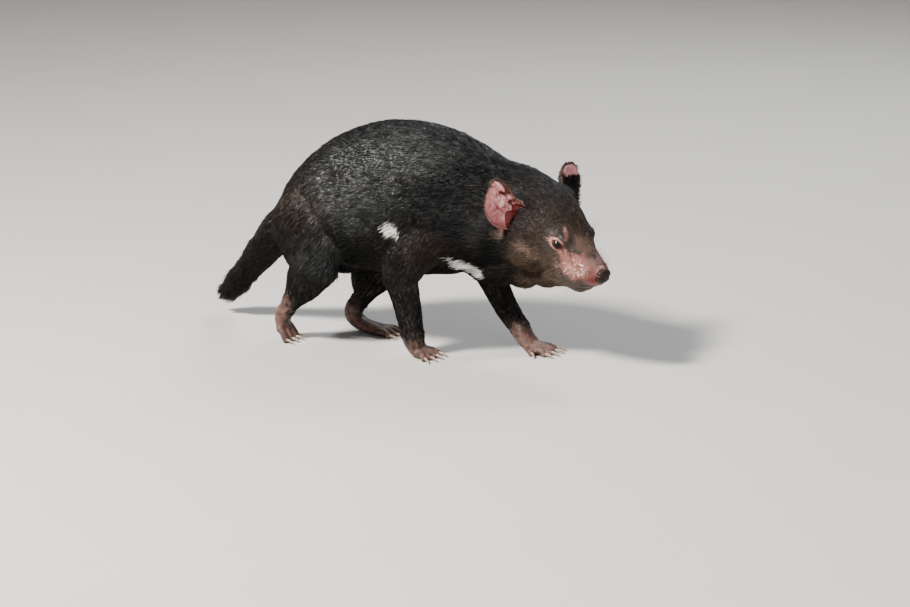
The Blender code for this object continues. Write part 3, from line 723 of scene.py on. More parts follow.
def ragged(points, size):
    """A soft wavy noise of about -1 to 1 with waves of this size in metres."""
    dice = np.random.default_rng(5)
    found = np.zeros(len(points))
    for _ in range(9):
        way = unit(dice.normal(size=3)) * 2 * math.pi / (size * dice.uniform(0.6, 1.6))
        found += np.sin(points @ way + dice.uniform(0, 6.3))
    return found / 3.0


def eye_ring(points):
    """The pale bare ring of each eye: narrow over the upper lid, widest at the rear corner and below."""
    found = np.zeros(len(points))
    for side in SIDES:
        _, high, offset = lid_opening(points, side)
        along = offset @ eye_axes(side)[1]
        away = np.hypot((along + 0.8) / 10.8, np.where(high > 0, high / 6.9, high / 7.9))
        near = np.linalg.norm(offset, axis=1) < 18
        found = np.maximum(found, smooth_step(away, 1.16, 0.86) * near)
    return found


def white_marks(flat, wave):
    """The white spot of the right flank and the chest band at points in mm, with ragged edges."""
    x, z, wide, high = FLANK_SPOT
    away = np.hypot((flat[:, 0] - x) / wide, (flat[:, 2] - z) / high) + 0.12 * wave
    white = smooth_step(away, 1.12, 0.82) * (flat[:, 1] < 0)
    folded = mirrored(flat)
    band = np.full(len(flat), 1e9)
    for (*start, first), (*end, last) in zip(CHEST_BAND[:-1], CHEST_BAND[1:]):
        share, away = to_segment(folded, start, end)
        band = np.minimum(band, away - (first + (last - first) * share))
    return np.maximum(white, smooth_step(band + 1.4 * wave, 2.0, -1.8))


def marks(points, owners, facing):
    """The markings at world points on the given parts, such as white, pink, brown, the ear's floor and
    painted sheen.
    """
    flat = (points - np.array(PLACE)) / MM
    local = to_head(points)
    is_head = owners == HEAD
    folded, face_side = mirrored(flat), mirrored(local)
    x, y, z = face_side.T
    wave, broken, speck = ragged(points, 9 * MM), ragged(points, 11 * MM), ragged(points, 4 * MM)
    white = white_marks(flat, wave)

    muzzle = np.sqrt(((x - 35) / 22) ** 2 + ((z + 14.5) / 15.5) ** 2) + 0.13 * broken + 0.10 * speck
    pink = smooth_step(muzzle, 1.22, 0.78) * smooth_step(y, 4, 14)
    upper = oval(face_side, (48, 8, -4), (11, 8, 7))
    pink = np.maximum(pink, 0.80 * smooth_step(upper + 0.15 * broken + 0.10 * speck, 1.35, 0.6))
    pink = np.maximum(pink, 0.75 * smooth_step(x, 46, 58) * smooth_step(z, -32, -28))
    to_muzzle = line_distance(local, TO_MUZZLE)
    pink = np.maximum(pink, 0.85 * smooth_step(to_muzzle + broken + speck, 8.5, 3.0))
    pink = np.maximum(pink, eye_ring(points))
    brow = line_distance(local, BROW_MARK)
    pink = np.maximum(pink, 0.70 * smooth_step(brow + 1.1 * speck, 3.8, 1.0) * (local[:, 1] < 0))

    face = smooth_step(x, -60, -20) * smooth_step(z, 46, 20)
    brown = 0.62 * face
    cheek = line_distance(local, CHEEK_PATCH)
    tan = 0.66 * smooth_step(cheek + 2.2 * broken + 1.5 * speck, 9.0, 1.0)
    bridge = oval(face_side, (27, 6, 7), (20, 12, 8))
    tan = np.maximum(tan, 0.62 * smooth_step(bridge + 0.2 * broken, 1.5, 0.3))
    ear_base = oval(face_side, (-60.5, 60, -14), (7, 9, 7))
    tan = np.maximum(tan, 0.55 * smooth_step(ear_base, 1.4, 0.4))
    tan = np.maximum(tan, 0.20 * face * smooth_step(z, 0, -20))
    tan = np.maximum(tan, 0.12 * smooth_step(z, -36, -42) * smooth_step(x, 20, 40))
    lip = smooth_step(oval(face_side, (60, 14, -21.5), (6.5, 6.5, 5)), 1.4, 0.5)

    canal, ear = np.zeros(len(points)), np.zeros(len(points))
    for side in SIDES:
        inside, folds = ear_floor(points, side)
        # The floor of the ear is dark red, partly painted shade, and darker still in the grooves of its
        # folds.
        canal = np.maximum(canal, inside * (0.72 + 0.28 * smooth_step(-folds, -0.2, 1.6)))
        ear = np.maximum(ear, inside)
    for values in (pink, brown, lip, tan, canal, ear):
        values *= is_head

    low = np.zeros(len(points))
    names = np.array(FLESH)[owners]
    for node, (full, none) in BARE_LEGS.items():
        level = flat[:, 2] + 5.0 * broken + 2.5 * speck
        if node.startswith(("hindfoot", "shank")):
            level = level - HEEL_HIGHER * (facing @ HEEL_WAY) + HEEL_LESS
        low = np.where(names == node, smooth_step(level, none, full), low)
    rump = smooth_step(oval(folded, (-105, 62, 190), (48, 60, 42)), 1.3, 0.3)
    elbow = smooth_step(oval(folded, (70, 60, 150), (42, 50, 34)), 1.3, 0.3)
    brown = np.maximum(brown, np.maximum(0.55 * rump, 0.5 * elbow) * ~is_head)
    # Where grey sheen is painted on the coat, which is also glossier there; none on the face.
    sheen = np.zeros(len(points))
    for middle, half, much in SHEENS:
        sheen = np.maximum(sheen, much * smooth_step(oval(folded, middle, half) + 0.10 * wave, 1.35, 0.45))
    sheen = sheen * (1 - smooth_step(x, -95, -65) * is_head)
    return {"white": white, "pink": pink, "brown": brown, "tan": tan, "bare": low, "lip": lip,
            "canal": canal, "ear": ear, "sheen": sheen}


def store(obj, name, values, kind="FLOAT"):
    """Keeps one number or vector for each vertex as an attribute of the mesh."""
    made = obj.data.attributes.new(name, kind, "POINT")
    key = "value" if kind == "FLOAT" else "vector"
    made.data.foreach_set(key, np.ascontiguousarray(values, np.float32).ravel())


places, normals = read(skin)
skin_marks = marks(places, owners, normals)
skin_marks["pink"] = np.maximum(skin_marks["pink"], skin_marks["ear"])
for name, values in skin_marks.items():
    store(skin, name, values)
is_head = owners == HEAD
local = to_head(places)
face_side = mirrored(local)
mouth = np.exp(-(line_distance(local, MOUTH) / 1.7) ** 2) * is_head
# Bright pink: the side of the muzzle, over the eye and the mark there. Red: behind and under the nose.
bright = np.minimum(oval(face_side, (33, 24, -18), (19, 14, 12)), oval(face_side, (-5, 36, 6), (8, 8, 6)))
bright = np.minimum(bright, oval(face_side, (7, 20, 17), (9, 6, 8)))
red = np.minimum(oval(face_side, (55, 15, -18), (12, 10, 12)), oval(face_side, (45, 20, -29), (20, 12, 8)))
lid = np.zeros(len(places))
for side in SIDES:
    opening, _, offset = lid_opening(places, side)
    lid = np.maximum(lid, smooth_step(opening, 1.27, 1.08) * (np.linalg.norm(offset, axis=1) < 14))
# The follicle mounds are also where pale highlights are painted on the skin.
face_marks = {
    "mouth": mouth, "lid": lid, "mound": mounds,
    "glow": np.maximum(smooth_step(bright, 1.2, 0.2), 1.8 * eye_ring(places)),
    "mauve": smooth_step(oval(face_side, (47, 7, -3), (15, 11, 9)), 1.2, 0.2),
    "flush": smooth_step(red, 1.3, 0.3),
}
for name, values in face_marks.items():
    store(skin, name, values)
print("marks:", {name: round(float(values.mean()), 3) for name, values in skin_marks.items()})

# %% [markdown]
# ## Eyes
# A devil's eye is small, round and nearly black, with the clear cornea standing a little proud of the
# ball. We start from a sphere turned to the gaze, and pull its front out into that dome.
# %% Eyeballs
CORNEA_REACH = 0.9
CORNEA_HALF = math.radians(34)


def make_eye(side):
    """An eyeball with a domed cornea, turned along its gaze."""
    gaze, _, _ = eye_axes(side)
    sphere = bpy.ops.mesh.primitive_uv_sphere_add
    eye = start_from(sphere, "eyeball_" + side, segments=40, ring_count=28, radius=EYE_RADIUS)
    places, _ = read(eye)
    turn = np.arccos(np.clip(places[:, 2] / EYE_RADIUS, -1, 1))
    dome = 1 + CORNEA_REACH * MM / EYE_RADIUS * smooth_step(turn, CORNEA_HALF, 0.0)
    turned = Vector(gaze).to_track_quat("Z", "Y").to_matrix()
    places = (places * dome[:, None]) @ np.array(turned).T + eye_middle(side)
    write(eye, places)
    store(eye, "iris", np.cos(turn))
    eye.data.shade_smooth()
    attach(eye, "root")
    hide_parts("eye_" + side)
    return eye


eyes = [make_eye(side) for side in SIDES]
print("eyes:", [triangles(eye) for eye in eyes])

# %% [markdown]
# ## The nose pad
# The wet black pad is a rounded block with a groove down its middle and two comma nostrils that open to
# the front and curl out to the side. It starts as a sphere and is pressed in along those lines.
# %% Nose pad
NOSE_MIDDLE = np.array((62.7, 0.0, -16.2))
NOSE_HALF = np.array((7.3, 11.2, 10.2))
NOSTRIL = ((73, 4.2, -15.5), (70.5, 6.6, -16.6), (67, 9.2, -16.4), (62, 12.6, -13.5))
NOSTRIL_HALF, NOSTRIL_DEEP = 1.9, 4.4


def make_nose():
    """The nose pad in the tip of the snout."""
    nose = start_from(bpy.ops.mesh.primitive_uv_sphere_add, "nose", segments=96, ring_count=64, radius=1.0)
    places, _ = read(nose)
    places = np.sign(places) * np.abs(places) ** 0.88
    local = places * NOSE_HALF * 0.97 + NOSE_MIDDLE
    out = unit(local - NOSE_MIDDLE)
    dent = NOSTRIL_DEEP * np.exp(-(line_distance(local, NOSTRIL) / NOSTRIL_HALF) ** 2 * 0.8)
    front = smooth_step(local[:, 0], 62, 68)
    dent += 0.7 * np.exp(-(local[:, 1] / 0.9) ** 2) * front
    dent -= 0.7 * np.exp(-((line_distance(local, NOSTRIL) - 3.0) / 1.3) ** 2) * front
    local -= out * dent[:, None]
    write(nose, from_head(local))
    nose.data.shade_smooth()
    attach(nose, "root")
    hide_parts("nose_pad")
    return nose


nose = make_nose()
print("nose:", triangles(nose), "triangles")

# %% [markdown]
# ## Ears
# Each ear is a sheet between its two curves. Ridges run up the inside, deepest near the canal, and the
# sheet gets its wall from a Solidify modifier, thin at the rim.
# %% Ears
def curve_through(rows, shares):
    """Rows on a smooth curve through the given rows, at shares from 0 to 1."""
    rows = np.array(rows, float)
    slopes = np.gradient(rows, axis=0)
    at = np.clip(np.asarray(shares) * (len(rows) - 1), 0, len(rows) - 1 - 1e-9)
    i = at.astype(int)
    t = (at - i)[:, None]
    a, b = 2 * t**3 - 3 * t**2 + 1, t**3 - 2 * t**2 + t
    c, d = 3 * t**2 - 2 * t**3, t**3 - t**2
    return a * rows[i] + b * slopes[i] + c * rows[i + 1] + d * slopes[i + 1]


def ear_sheet(across, up, side):
    """World points of the ear's sheet at shares across and up it, and the way that it faces."""
    sign = SIDES[side]
    rows = curve_through([(*low, *high, deep) for low, high, deep in EAR[side]], up)
    low, high, deep = rows[:, :3] * (1, sign, 1), rows[:, 3:6] * (1, sign, 1), rows[:, 6]
    u = 2 * across - 1
    bowl = deep * np.sqrt(np.clip(1 - 0.97 * u * u, 0, 1))
    facing = unit(np.array(EAR_FACING[side]) * (1, sign, 1))
    local = low + (high - low) * across[:, None] - facing * bowl[:, None]
    rise = np.zeros(len(local))
    for start, end, half, tall in EAR_RIDGES:
        share, away = to_segment(np.column_stack([across, up]), start, end)
        rise += tall * np.exp(-(away / half) ** 2) * np.sin(math.pi * (0.2 + 0.6 * share))
    swirl = ragged(np.column_stack([across + 0.05 * np.sin(11 * up), 1.3 * up, 0 * up]), EAR_CRINKLE)
    centre = np.exp(-(((across - 0.62) / 0.30) ** 2 + ((up - 0.38) / 0.32) ** 2))
    rise += (0.7 * np.sin(3 * swirl) - 1.5 * np.exp(-((swirl / 0.15) ** 2))) * centre
    slanted = np.column_stack([across + 0.5 * up + 0.03 * np.sin(17 * up), 0.6 * up - 0.4 * across, 0 * up])
    swirl = ragged(slanted, EAR_FINE_CRINKLE)
    centre = np.exp(-(((across - 0.68) / 0.27) ** 2 + ((up - 0.30) / 0.26) ** 2))
    rise += (0.9 * np.sin(3 * swirl) - 2.2 * np.exp(-((swirl / 0.17) ** 2))) * centre
    local = local + facing * rise[:, None]
    return from_head(local), unit(HEAD_TURN @ facing), rise


def ear_spine(up, side):
    """The world point in the middle of the ear's sheet at a share up it, and the way that the ear faces."""
    return ear_sheet(np.array((0.5,)), np.array((up,)), side)[:2]


def make_ear(side):
    """One ear with its wall and its ridges."""
    grid = {"x_subdivisions": EAR_COLUMNS, "y_subdivisions": EAR_ROWS, "size": 1.0}
    ear = start_from(bpy.ops.mesh.primitive_grid_add, "ear_" + side + "_skin", **grid)
    places, _ = read(ear)
    across = np.clip(places[:, 0] + 0.5, 0, 1)
    up = np.clip(places[:, 1] + 0.5, 0, 1)
    across = 0.5 + 0.5 * (0.65 * (2 * across - 1) + 0.35 * np.sin((2 * across - 1) * math.pi / 2))
    world, facing, rise = ear_sheet(across, up, side)
    write(ear, world)
    store(ear, "across", across)
    store(ear, "up", up)
    store(ear, "ridge", rise / 2.2)
    store(ear, "furred", ear_furred(across, up, side))
    normals = read(ear)[1]
    if (normals @ facing).mean() < 0:
        edit(ear, bpy.ops.mesh.flip_normals)
    edge = np.minimum(np.minimum(across, 1 - across) * 5, (1 - up) * 4)
    group(ear, "wall", 0.45 + 0.55 * smooth_step(edge, 0.0, 1.0))
    modify(ear, "SOLIDIFY", thickness=EAR_WALL, offset=1.0, vertex_group="wall", thickness_vertex_group=0.4)
    ear.vertex_groups.clear()
    ear.data.shade_smooth()
    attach(ear, "root")
    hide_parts("ear_" + side)
    return ear


ears = {side: make_ear(side) for side in SIDES}
print("ears:", {side: triangles(ear) for side, ear in ears.items()})

# %% [markdown]
# ## Claws
# The claws are horn, pale and worn, and the solids already hold their curve. A merged copy gets two
# levels of subdivision, so that it is round, and grows a little to fill its seat in the toe.
# %% Claws
CLAW_GROW = 0.32 * MM


def make_claw(node):
    """A smooth claw over its solid."""
    claw = twin_of(node, node + "_horn")
    swell(claw, CLAW_GROW)
    modify(claw, "SUBSURF", levels=2, render_levels=2)
    places, _ = read(claw)
    places[:, 2] = np.maximum(places[:, 2], 0.2 * MM)
    write(claw, places)
    claw.data.shade_smooth()
    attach(claw, "root")
    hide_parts(node)
    return claw


claws = [make_claw(node) for node in sorted(nodes) if "claw_" in node]
print("claws:", len(claws), "of", triangles(claws[0]), "triangles")

# %% [markdown]
# ## The lie of the coat
# Hair grows away from the nose, back along the body and down the limbs. Each part gets one direction,
# which is then spread over its neighbours and laid into the surface, so that the coat runs on across
# a joint without a parting.
# %% Direction, length and lift of the hair
LIE = {
    "torso": (-1.0, 0.0, -0.30), "neck": (-1.0, 0.0, -0.12), "tail_root": (-0.70, 0.22, -0.66),
    "tail_end": TAIL_WAY, "upper_arm": (-0.55, 0.0, -0.85), "forearm_right": (0.12, 0.1, -1.0),
    "forearm_left": (0.55, 0.0, -0.85), "forefoot": (0.9, 0.0, -0.3), "thigh": (-0.5, 0.0, -0.85),
    "shank_right": (-0.5, 0.15, -0.85), "shank_left": (-0.55, -0.1, -0.80),
    "hindfoot_left": (0.9, 0.0, -0.2), "hindfoot_right": (0.1, 0.0, -0.9),
}
NOSE_TIP = (66.0, 0.0, -14.0)


def lie_of(node):
    """The direction of the hair on a part."""
    key = node if node in LIE else node.rsplit("_", 1)[0]
    return LIE.get(key, (-1.0, 0.0, 0.0))


places, normals = read(skin)
local = to_head(places)
lie = unit(np.array([lie_of(node) for node in FLESH]))[owners]
away = unit((local - NOSE_TIP) * (1.0, 0.8, 0.7) + (0, 0, -6.0)) @ HEAD_TURN.T
lie = np.where((owners == HEAD)[:, None], away, lie)
lie = spread(lie, pairs, 45)
normals = unit(spread(normals, pairs, 3))
facing_lie = (unit(lie) * normals).sum(axis=1)
laid = 1 - smooth_step(facing_lie, 0.45, 0.9) * np.isin(owners, TAIL)
lie = unit(unit(lie) - normals * (facing_lie * laid)[:, None])

is_head = owners == HEAD
cheek = smooth_step(local[:, 2], 5, -35) * smooth_step(local[:, 0], 10, -45)
length = np.where(is_head, 6.2 + 4.5 * cheek, by_part(owners, 0))
length = spread(length, pairs, 40)
near_nose = smooth_step(local[:, 0], 0.0, 40.0)
near_eye = eye_nearness(local, 10.0, 26.0)
short = np.where(is_head, (1 - 0.66 * near_nose) * (1 - 0.58 * near_eye), 1.0)
length = length * short * (1 - 0.5 * skin_marks["bare"])
print("coat length from", round(float(length.min()), 1), "to", round(float(length.max()), 1), "mm")

# %% [markdown]
# ## Growing the tufts
# Each tuft is a thin closed blade of three sides: a root triangle sunk in the skin, a ring part of the way
# along, and one tip. Roots are thrown over the skin at random, denser where the hair is shorter. Tips
# near one another are drawn together, as real hair clumps. Everything is worked out as arrays at once.
# %% Throw the roots
rng = np.random.default_rng(20)
TUFTS = 142000
faces = np.array([tuple(face.vertices) for face in skin.data.polygons])
corner = places[faces]
area = np.linalg.norm(np.cross(corner[:, 1] - corner[:, 0], corner[:, 2] - corner[:, 0]), axis=1) / 2

in_ear = np.maximum(ear_floor(places, "left")[0], ear_floor(places, "right")[0])
hairless = 0.90 * skin_marks["bare"] + 0.80 * smooth_step(skin_marks["pink"], 0.1, 0.9) + skin_marks["lip"]
hairless = hairless + mouth + 2 * in_ear
hairless = np.clip(hairless, 0, 1)
inside_lid = eye_nearness(local, 9.8, 11.0)
thick = (1 - hairless) * (1 - inside_lid) / np.maximum(length, 2.0) ** 0.75
thick = np.where(is_head, thick * 1.35, thick)
thick = np.where(np.isin(owners, TAIL), thick * 2.4, thick)
under_nose = (np.abs(local[:, 1]) < 12) & (local[:, 0] > 56)
thick = np.where(under_nose & is_head, 0, thick)
chance = area * thick[faces].mean(axis=1)
chance = chance / chance.sum()
chosen = np.sort(rng.choice(len(faces), TUFTS, p=chance))
share = rng.random((TUFTS, 3)) ** 0.8
share = share / share.sum(axis=1, keepdims=True)


def at_roots(values):
    """A vertex value at every root."""
    weights = share[..., None] if values.ndim > 1 else share
    return (values[faces[chosen]] * weights).sum(axis=1)


root = at_roots(places)
root_normal = unit(at_roots(normals))
root_lie = unit(at_roots(lie))
root_length = at_roots(length)
root_owner = owners[faces[chosen][:, 0]]
root_laid = at_roots(laid)
print("roots:", TUFTS, "longest", round(float(root_length.max()), 1), "mm")

# %% Roots on the ears
EAR_TUFTS = {"right": 2800, "left": 4600}


def ear_roots(side):
    """Roots of the fur on an ear: places, normals, lie, and length in mm."""
    spots, ways = read(ears[side])
    across, up = np.empty(len(spots)), np.empty(len(spots))
    for name, values in (("across", across), ("up", up)):
        ears[side].data.attributes[name].data.foreach_get("value", values)
    inner = ways @ ear_spine(0.5, side)[1] > 0
    edge = smooth_step(np.minimum(across, 1 - across), 0.09, 0.0)
    rim = np.clip(edge + smooth_step(up, 0.92, 0.99), 0, 1)
    low = ear_furred(across, up, side)
    band = 0.6 * smooth_step(across, 0.82, 0.92)
    rim = rim * (1 - 0.6 * smooth_step(up, 0.75, 0.95)) * (0.5 if side == "left" else 1.0)
    weight = np.where(inner, np.clip(0.8 * rim + 2.4 * low + band, 0, 2.4), 0.5 + 0.5 * rim)
    picked = rng.choice(len(spots), EAR_TUFTS[side], p=weight / weight.sum())
    spine = ear_sheet(np.full(len(picked), 0.5), up[picked], side)[0]
    tip_way = unit(ear_spine(1.0, side)[0] - ear_spine(0.0, side)[0])
    lie = unit(tip_way + 1.3 * np.abs(2 * across[picked] - 1)[:, None] ** 3 * unit(spots[picked] - spine))
    reach = np.where(inner, 3.2 + 3.6 * low, 3.8) + 1.0 * rim
    place = spots[picked] + rng.normal(size=(len(picked), 3)) * 0.25 * MM
    return place, ways[picked], lie, reach[picked]


grown = [ear_roots(side) for side in SIDES]
root, root_normal, root_lie = (np.vstack([own] + [part[k] for part in grown])
                               for k, own in enumerate((root, root_normal, root_lie)))
root_lie = unit(root_lie)
root_length = np.concatenate([root_length] + [part[3] for part in grown])
total = len(root)
on_ear = np.arange(total) >= TUFTS
root_owner = np.concatenate([root_owner, np.full(total - TUFTS, HEAD)])
root_laid = np.concatenate([root_laid, np.ones(total - TUFTS)])
root_head = (root_owner == HEAD) & ~on_ear
print("ear roots:", total - TUFTS)

# %% Bend, clump and build the blades
CLUMP_EVERY = 9
CLUMP_PULL = 0.62
SINK = 0.5 * MM


def noise_vector(points, size, seed):
    """A smooth random vector field with waves of this size in metres."""
    dice = np.random.default_rng(seed)
    found = np.zeros((len(points), 3))
    for _ in range(8):
        way = unit(dice.normal(size=3)) * 2 * math.pi / (size * dice.uniform(0.6, 1.7))
        found += dice.normal(size=3) * np.sin(points @ way + dice.uniform(0, 6.3))[:, None]
    return found / 3.0


def clump_tips(root, tip, every):
    """Tips drawn towards the tip of the nearest leading tuft, and the number of that tuft."""
    leaders = np.arange(0, len(root), every)
    tree = KDTree(len(leaders))
    for index, leader in enumerate(leaders):
        tree.insert(root[leader], index)
    tree.balance()
    nearest = leaders[np.array([tree.find(point)[1] for point in root])]
    return tip[nearest] + (root - root[nearest]) * 0.35, nearest


side_way = unit(np.cross(root_lie, root_normal))
wave = noise_vector(root, 30 * MM, 3) * 0.16 + noise_vector(root, 9 * MM, 4) * 0.13
stray = rng.normal(size=(total, 3)) * 0.10
flow = unit(root_lie + wave + stray)
flow = unit(flow - root_normal * ((flow * root_normal).sum(axis=1) * root_laid)[:, None])
angle = np.radians(by_part(root_owner, 1) + rng.normal(size=total) * 3.5 + 2.5 * wave[:, 2] / 0.2)
angle = np.clip(angle, math.radians(3), math.radians(26))
tail_at = places[np.isin(owners, TAIL)]
tail_tip = tail_at[(tail_at @ unit(TAIL_WAY)).argmax()]
on_end = root_owner == FLESH.index("tail_end")
to_tip = (tail_tip - root) @ unit(TAIL_WAY)
angle = np.where(on_end, angle * (0.2 + 0.8 * smooth_step(to_tip, 0, 50 * MM)), angle)
long = root_length * rng.uniform(0.72, 1.22, total) * MM
first = flow * np.cos(angle)[:, None] + root_normal * np.sin(angle)[:, None]
second = flow * np.cos(angle * 0.35)[:, None] + root_normal * np.sin(angle * 0.35)[:, None]
foot = root - root_normal * SINK
middle = foot + first * (long * 0.5)[:, None]
tip = middle + second * (long * 0.5)[:, None]
drawn, leader = clump_tips(root, tip, CLUMP_EVERY)
pull = CLUMP_PULL * np.clip(root_length / 12, 0.3, 1.0) * rng.uniform(0.4, 1.2, total)
pull = pull * np.where(on_end, 0.45, 1.0)
tip = tip + (drawn - tip) * pull[:, None]
middle = middle + (drawn - tip) * (pull * 0.15)[:, None]
spread_out = tip - tail_tip
spread_out = spread_out - (spread_out @ unit(TAIL_WAY))[:, None] * unit(TAIL_WAY)
gather = np.where(on_end, smooth_step(to_tip, 42 * MM, 0.0), 0.0)[:, None]
tip = tip - spread_out * 0.5 * gather
middle = middle - spread_out * 0.15 * gather
width = np.clip(0.30 + 0.062 * root_length, 0.36, 1.45) * rng.uniform(0.75, 1.25, total) * MM
width = np.where(on_ear, 0.75 * width, width)
root_marks = marks(root + rng.normal(size=(total, 3)) * 1.5 * MM, root_owner, root_normal)
for name, near, far in (("pink", 0.0, 0.0), ("brown", 0.75, 0.3), ("tan", 0.32, 0.0)):
    root_marks[name][on_ear] = np.repeat((near, far), [EAR_TUFTS[side] for side in SIDES])
# Roots that face down get fewer pale strands, which paints shade on the underside, and rougher, less glossy
# hair.
root_marks["under"] = smooth_step(root_normal[:, 2], 0.25, -0.45)
shade = 0.5 * rng.random(total) + 0.5 * rng.random(total)[leader]
print("tufts:", total, "mean width", round(float(width.mean()) / MM, 2), "mm")

# %% [markdown]
# ## Coat pieces
# The coat is parted where the body is, so that each piece holds fewer than two hundred thousand triangles.
# For the bake, each tuft has its own small patch of the map OFBake, set at the place of its root on an
# unwrap of the skin: along a part's own length and round it.
# %% Unwrap and coat pieces
PATCH = 0.0015
RING = np.array(((-0.5, 0.0), (0.5, 0.0), (0.0, 0.55)))


def unwrap(points, owner, piece_owners):
    """Places on the bake map: each part has its own strip, along its length and round it."""
    found = np.zeros((len(points), 2))
    for strip, index in enumerate(piece_owners):
        own = owner == index
        if not own.any():
            continue
        low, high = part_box(FLESH[index])
        low, high = np.array(low), np.array(high)
        axis = unit(np.array(lie_of(FLESH[index])))
        offset = points[own] - (low + high) / 2
        along = offset @ axis
        across = unit(np.cross(axis, (0.0, 1.0, 0.0)))
        deep = np.cross(axis, across)
        turn = np.arctan2(offset @ deep, offset @ across) / (2 * math.pi) + 0.5
        reach = np.abs(along).max() + 1e-6
        found[own, 0] = 0.01 + 0.98 * (along / reach + 1) / 2
        found[own, 1] = (strip + 0.02 + 0.96 * turn) / len(piece_owners)
    return found


def build_coat(name, chosen_tufts):
    """One coat piece from the chosen tufts."""
    picked = np.flatnonzero(chosen_tufts)
    count = len(picked)
    side = side_way[picked]
    over = root_normal[picked]
    wide = width[picked][:, None]
    rings = []
    for base, size in ((foot[picked], 1.0), (middle[picked], 0.82)):
        for left, up in RING:
            rings.append(base + side * wide * left * size + over * wide * up * size)
    rings.append(tip[picked])
    verts = np.stack(rings, axis=1).reshape(-1, 3)
    verts[:, 2] = np.maximum(verts[:, 2], 0.2 * MM)
    pattern = np.array(((0, 2, 1), (0, 1, 4), (0, 4, 3), (1, 2, 5), (1, 5, 4), (2, 0, 3), (2, 3, 5),
                        (3, 4, 6), (4, 5, 6), (5, 3, 6)))
    tris = (pattern[None] + 7 * np.arange(count)[:, None, None]).reshape(-1, 3)
    mesh = bpy.data.meshes.new(name)
    mesh.vertices.add(len(verts))
    mesh.vertices.foreach_set("co", verts.ravel())
    mesh.loops.add(len(tris) * 3)
    mesh.loops.foreach_set("vertex_index", tris.ravel())
    mesh.polygons.add(len(tris))
    mesh.polygons.foreach_set("loop_start", np.arange(0, len(tris) * 3, 3))
    mesh.polygons.foreach_set("loop_total", np.full(len(tris), 3))
    mesh.update(calc_edges=True)
    coat = bpy.data.objects.new(name, mesh)
    bpy.context.scene.collection.objects.link(coat)
    for key in ("white", "pink", "brown", "tan", "bare", "sheen", "under"):
        store(coat, key, np.repeat(root_marks[key][picked], 7))
    store(coat, "shade", np.repeat(shade[picked], 7))
    store(coat, "tip", np.tile((0, 0, 0, 0.5, 0.5, 0.5, 1.0), count))
    store(coat, "root", np.repeat(root[picked], 7, axis=0), "FLOAT_VECTOR")
    own = sorted(set(root_owner[picked].tolist()))
    at = unwrap(root[picked], root_owner[picked], own)
    spot = np.array(((-1, -1), (1, -1), (0, -0.9), (-0.9, 0), (0.9, 0), (0, 0.1), (0, 1)))
    uv = (at[:, None] + spot[None] * PATCH).reshape(-1, 2)
    layer = mesh.uv_layers.new(name="OFBake")
    layer.data.foreach_set("uv", uv[tris.ravel()].ravel())
    mesh.shade_smooth()
    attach(coat, "root")
    return coat


def is_part(*starts):
    """Which tufts grow on parts whose names start so."""
    names = np.array(FLESH)[root_owner]
    found = np.zeros(total, bool)
    for start in starts:
        found |= np.char.startswith(names, start)
    return found


def coat_regions():
    """The coat pieces: a name, and which tufts go there."""
    x, y = root[:, 0] / MM, root[:, 1]
    torso = is_part("torso")
    head_root = to_head(root)
    regions = {
        "coat_rump": torso & (x < -70),
        "coat_loin_right": torso & (x >= -70) & (x < 20) & (y < 0),
        "coat_loin_left": torso & (x >= -70) & (x < 20) & (y >= 0),
        "coat_chest": torso & (x >= 20),
        "coat_neck": is_part("neck"),
        "coat_crown": root_head & (head_root[:, 2] >= 12),
        "coat_face_right": root_head & (head_root[:, 2] < 12) & (head_root[:, 1] < 0),
        "coat_face_left": root_head & (head_root[:, 2] < 12) & (head_root[:, 1] >= 0),
        "coat_ears": on_ear,
        "coat_tail": is_part("tail"),
        "coat_arms": is_part("upper_arm"),
        "coat_forelegs": is_part("forearm", "forefoot"),
        "coat_thighs": is_part("thigh"),
        "coat_shanks": is_part("shank", "hindfoot"),
    }
    return regions


coats = [build_coat(name, which) for name, which in coat_regions().items() if which.any()]
counts = {coat.name: triangles(coat) for coat in coats}
print("coat:", counts, "in all", sum(counts.values()))

# %% [markdown]
# ## Whiskers
# Long stiff whiskers stand on the muzzle, over the eye, on the cheek and under the chin. Each is a thin
# five-sided tube along a bent line, all of them in one mesh.
# %% Whiskers
WHISKER_SIDES, WHISKER_RINGS = 5, 7
WHISKER_RADIUS = 0.24 * MM


def whisker_table():
    """Roots of the left whiskers in the head's frame with their direction and length in mm."""
    table = []
    dice = np.random.default_rng(8)
    for index, mound in enumerate(mound_places()):
        column = index % MOUND_COLUMNS
        way = (-0.35 - 0.10 * column + dice.normal() * 0.08, 0.85, -0.30 - 0.05 * (index // MOUND_COLUMNS))
        table.append((mound, way, 13 + 3.6 * column + dice.uniform(-2, 3)))
    for shift in range(4):
        spot = np.array((9 + shift, 23 + shift, 21 - 1.5 * shift))
        table.append((spot, (0.1, 0.55, 0.8), 18 + 2 * shift))
    for shift in range(5):
        spot = np.array((-24 - shift, 50, -13 + 2 * shift))
        table.append((spot, (-0.45, 0.85, -0.35 + 0.1 * shift), 24 + shift))
    for shift in range(4):
        spot = np.array((34 - 5 * shift, 8, -55))
        table.append((spot, (0.1, 0.35, -1.0), 12 + shift))
    return table


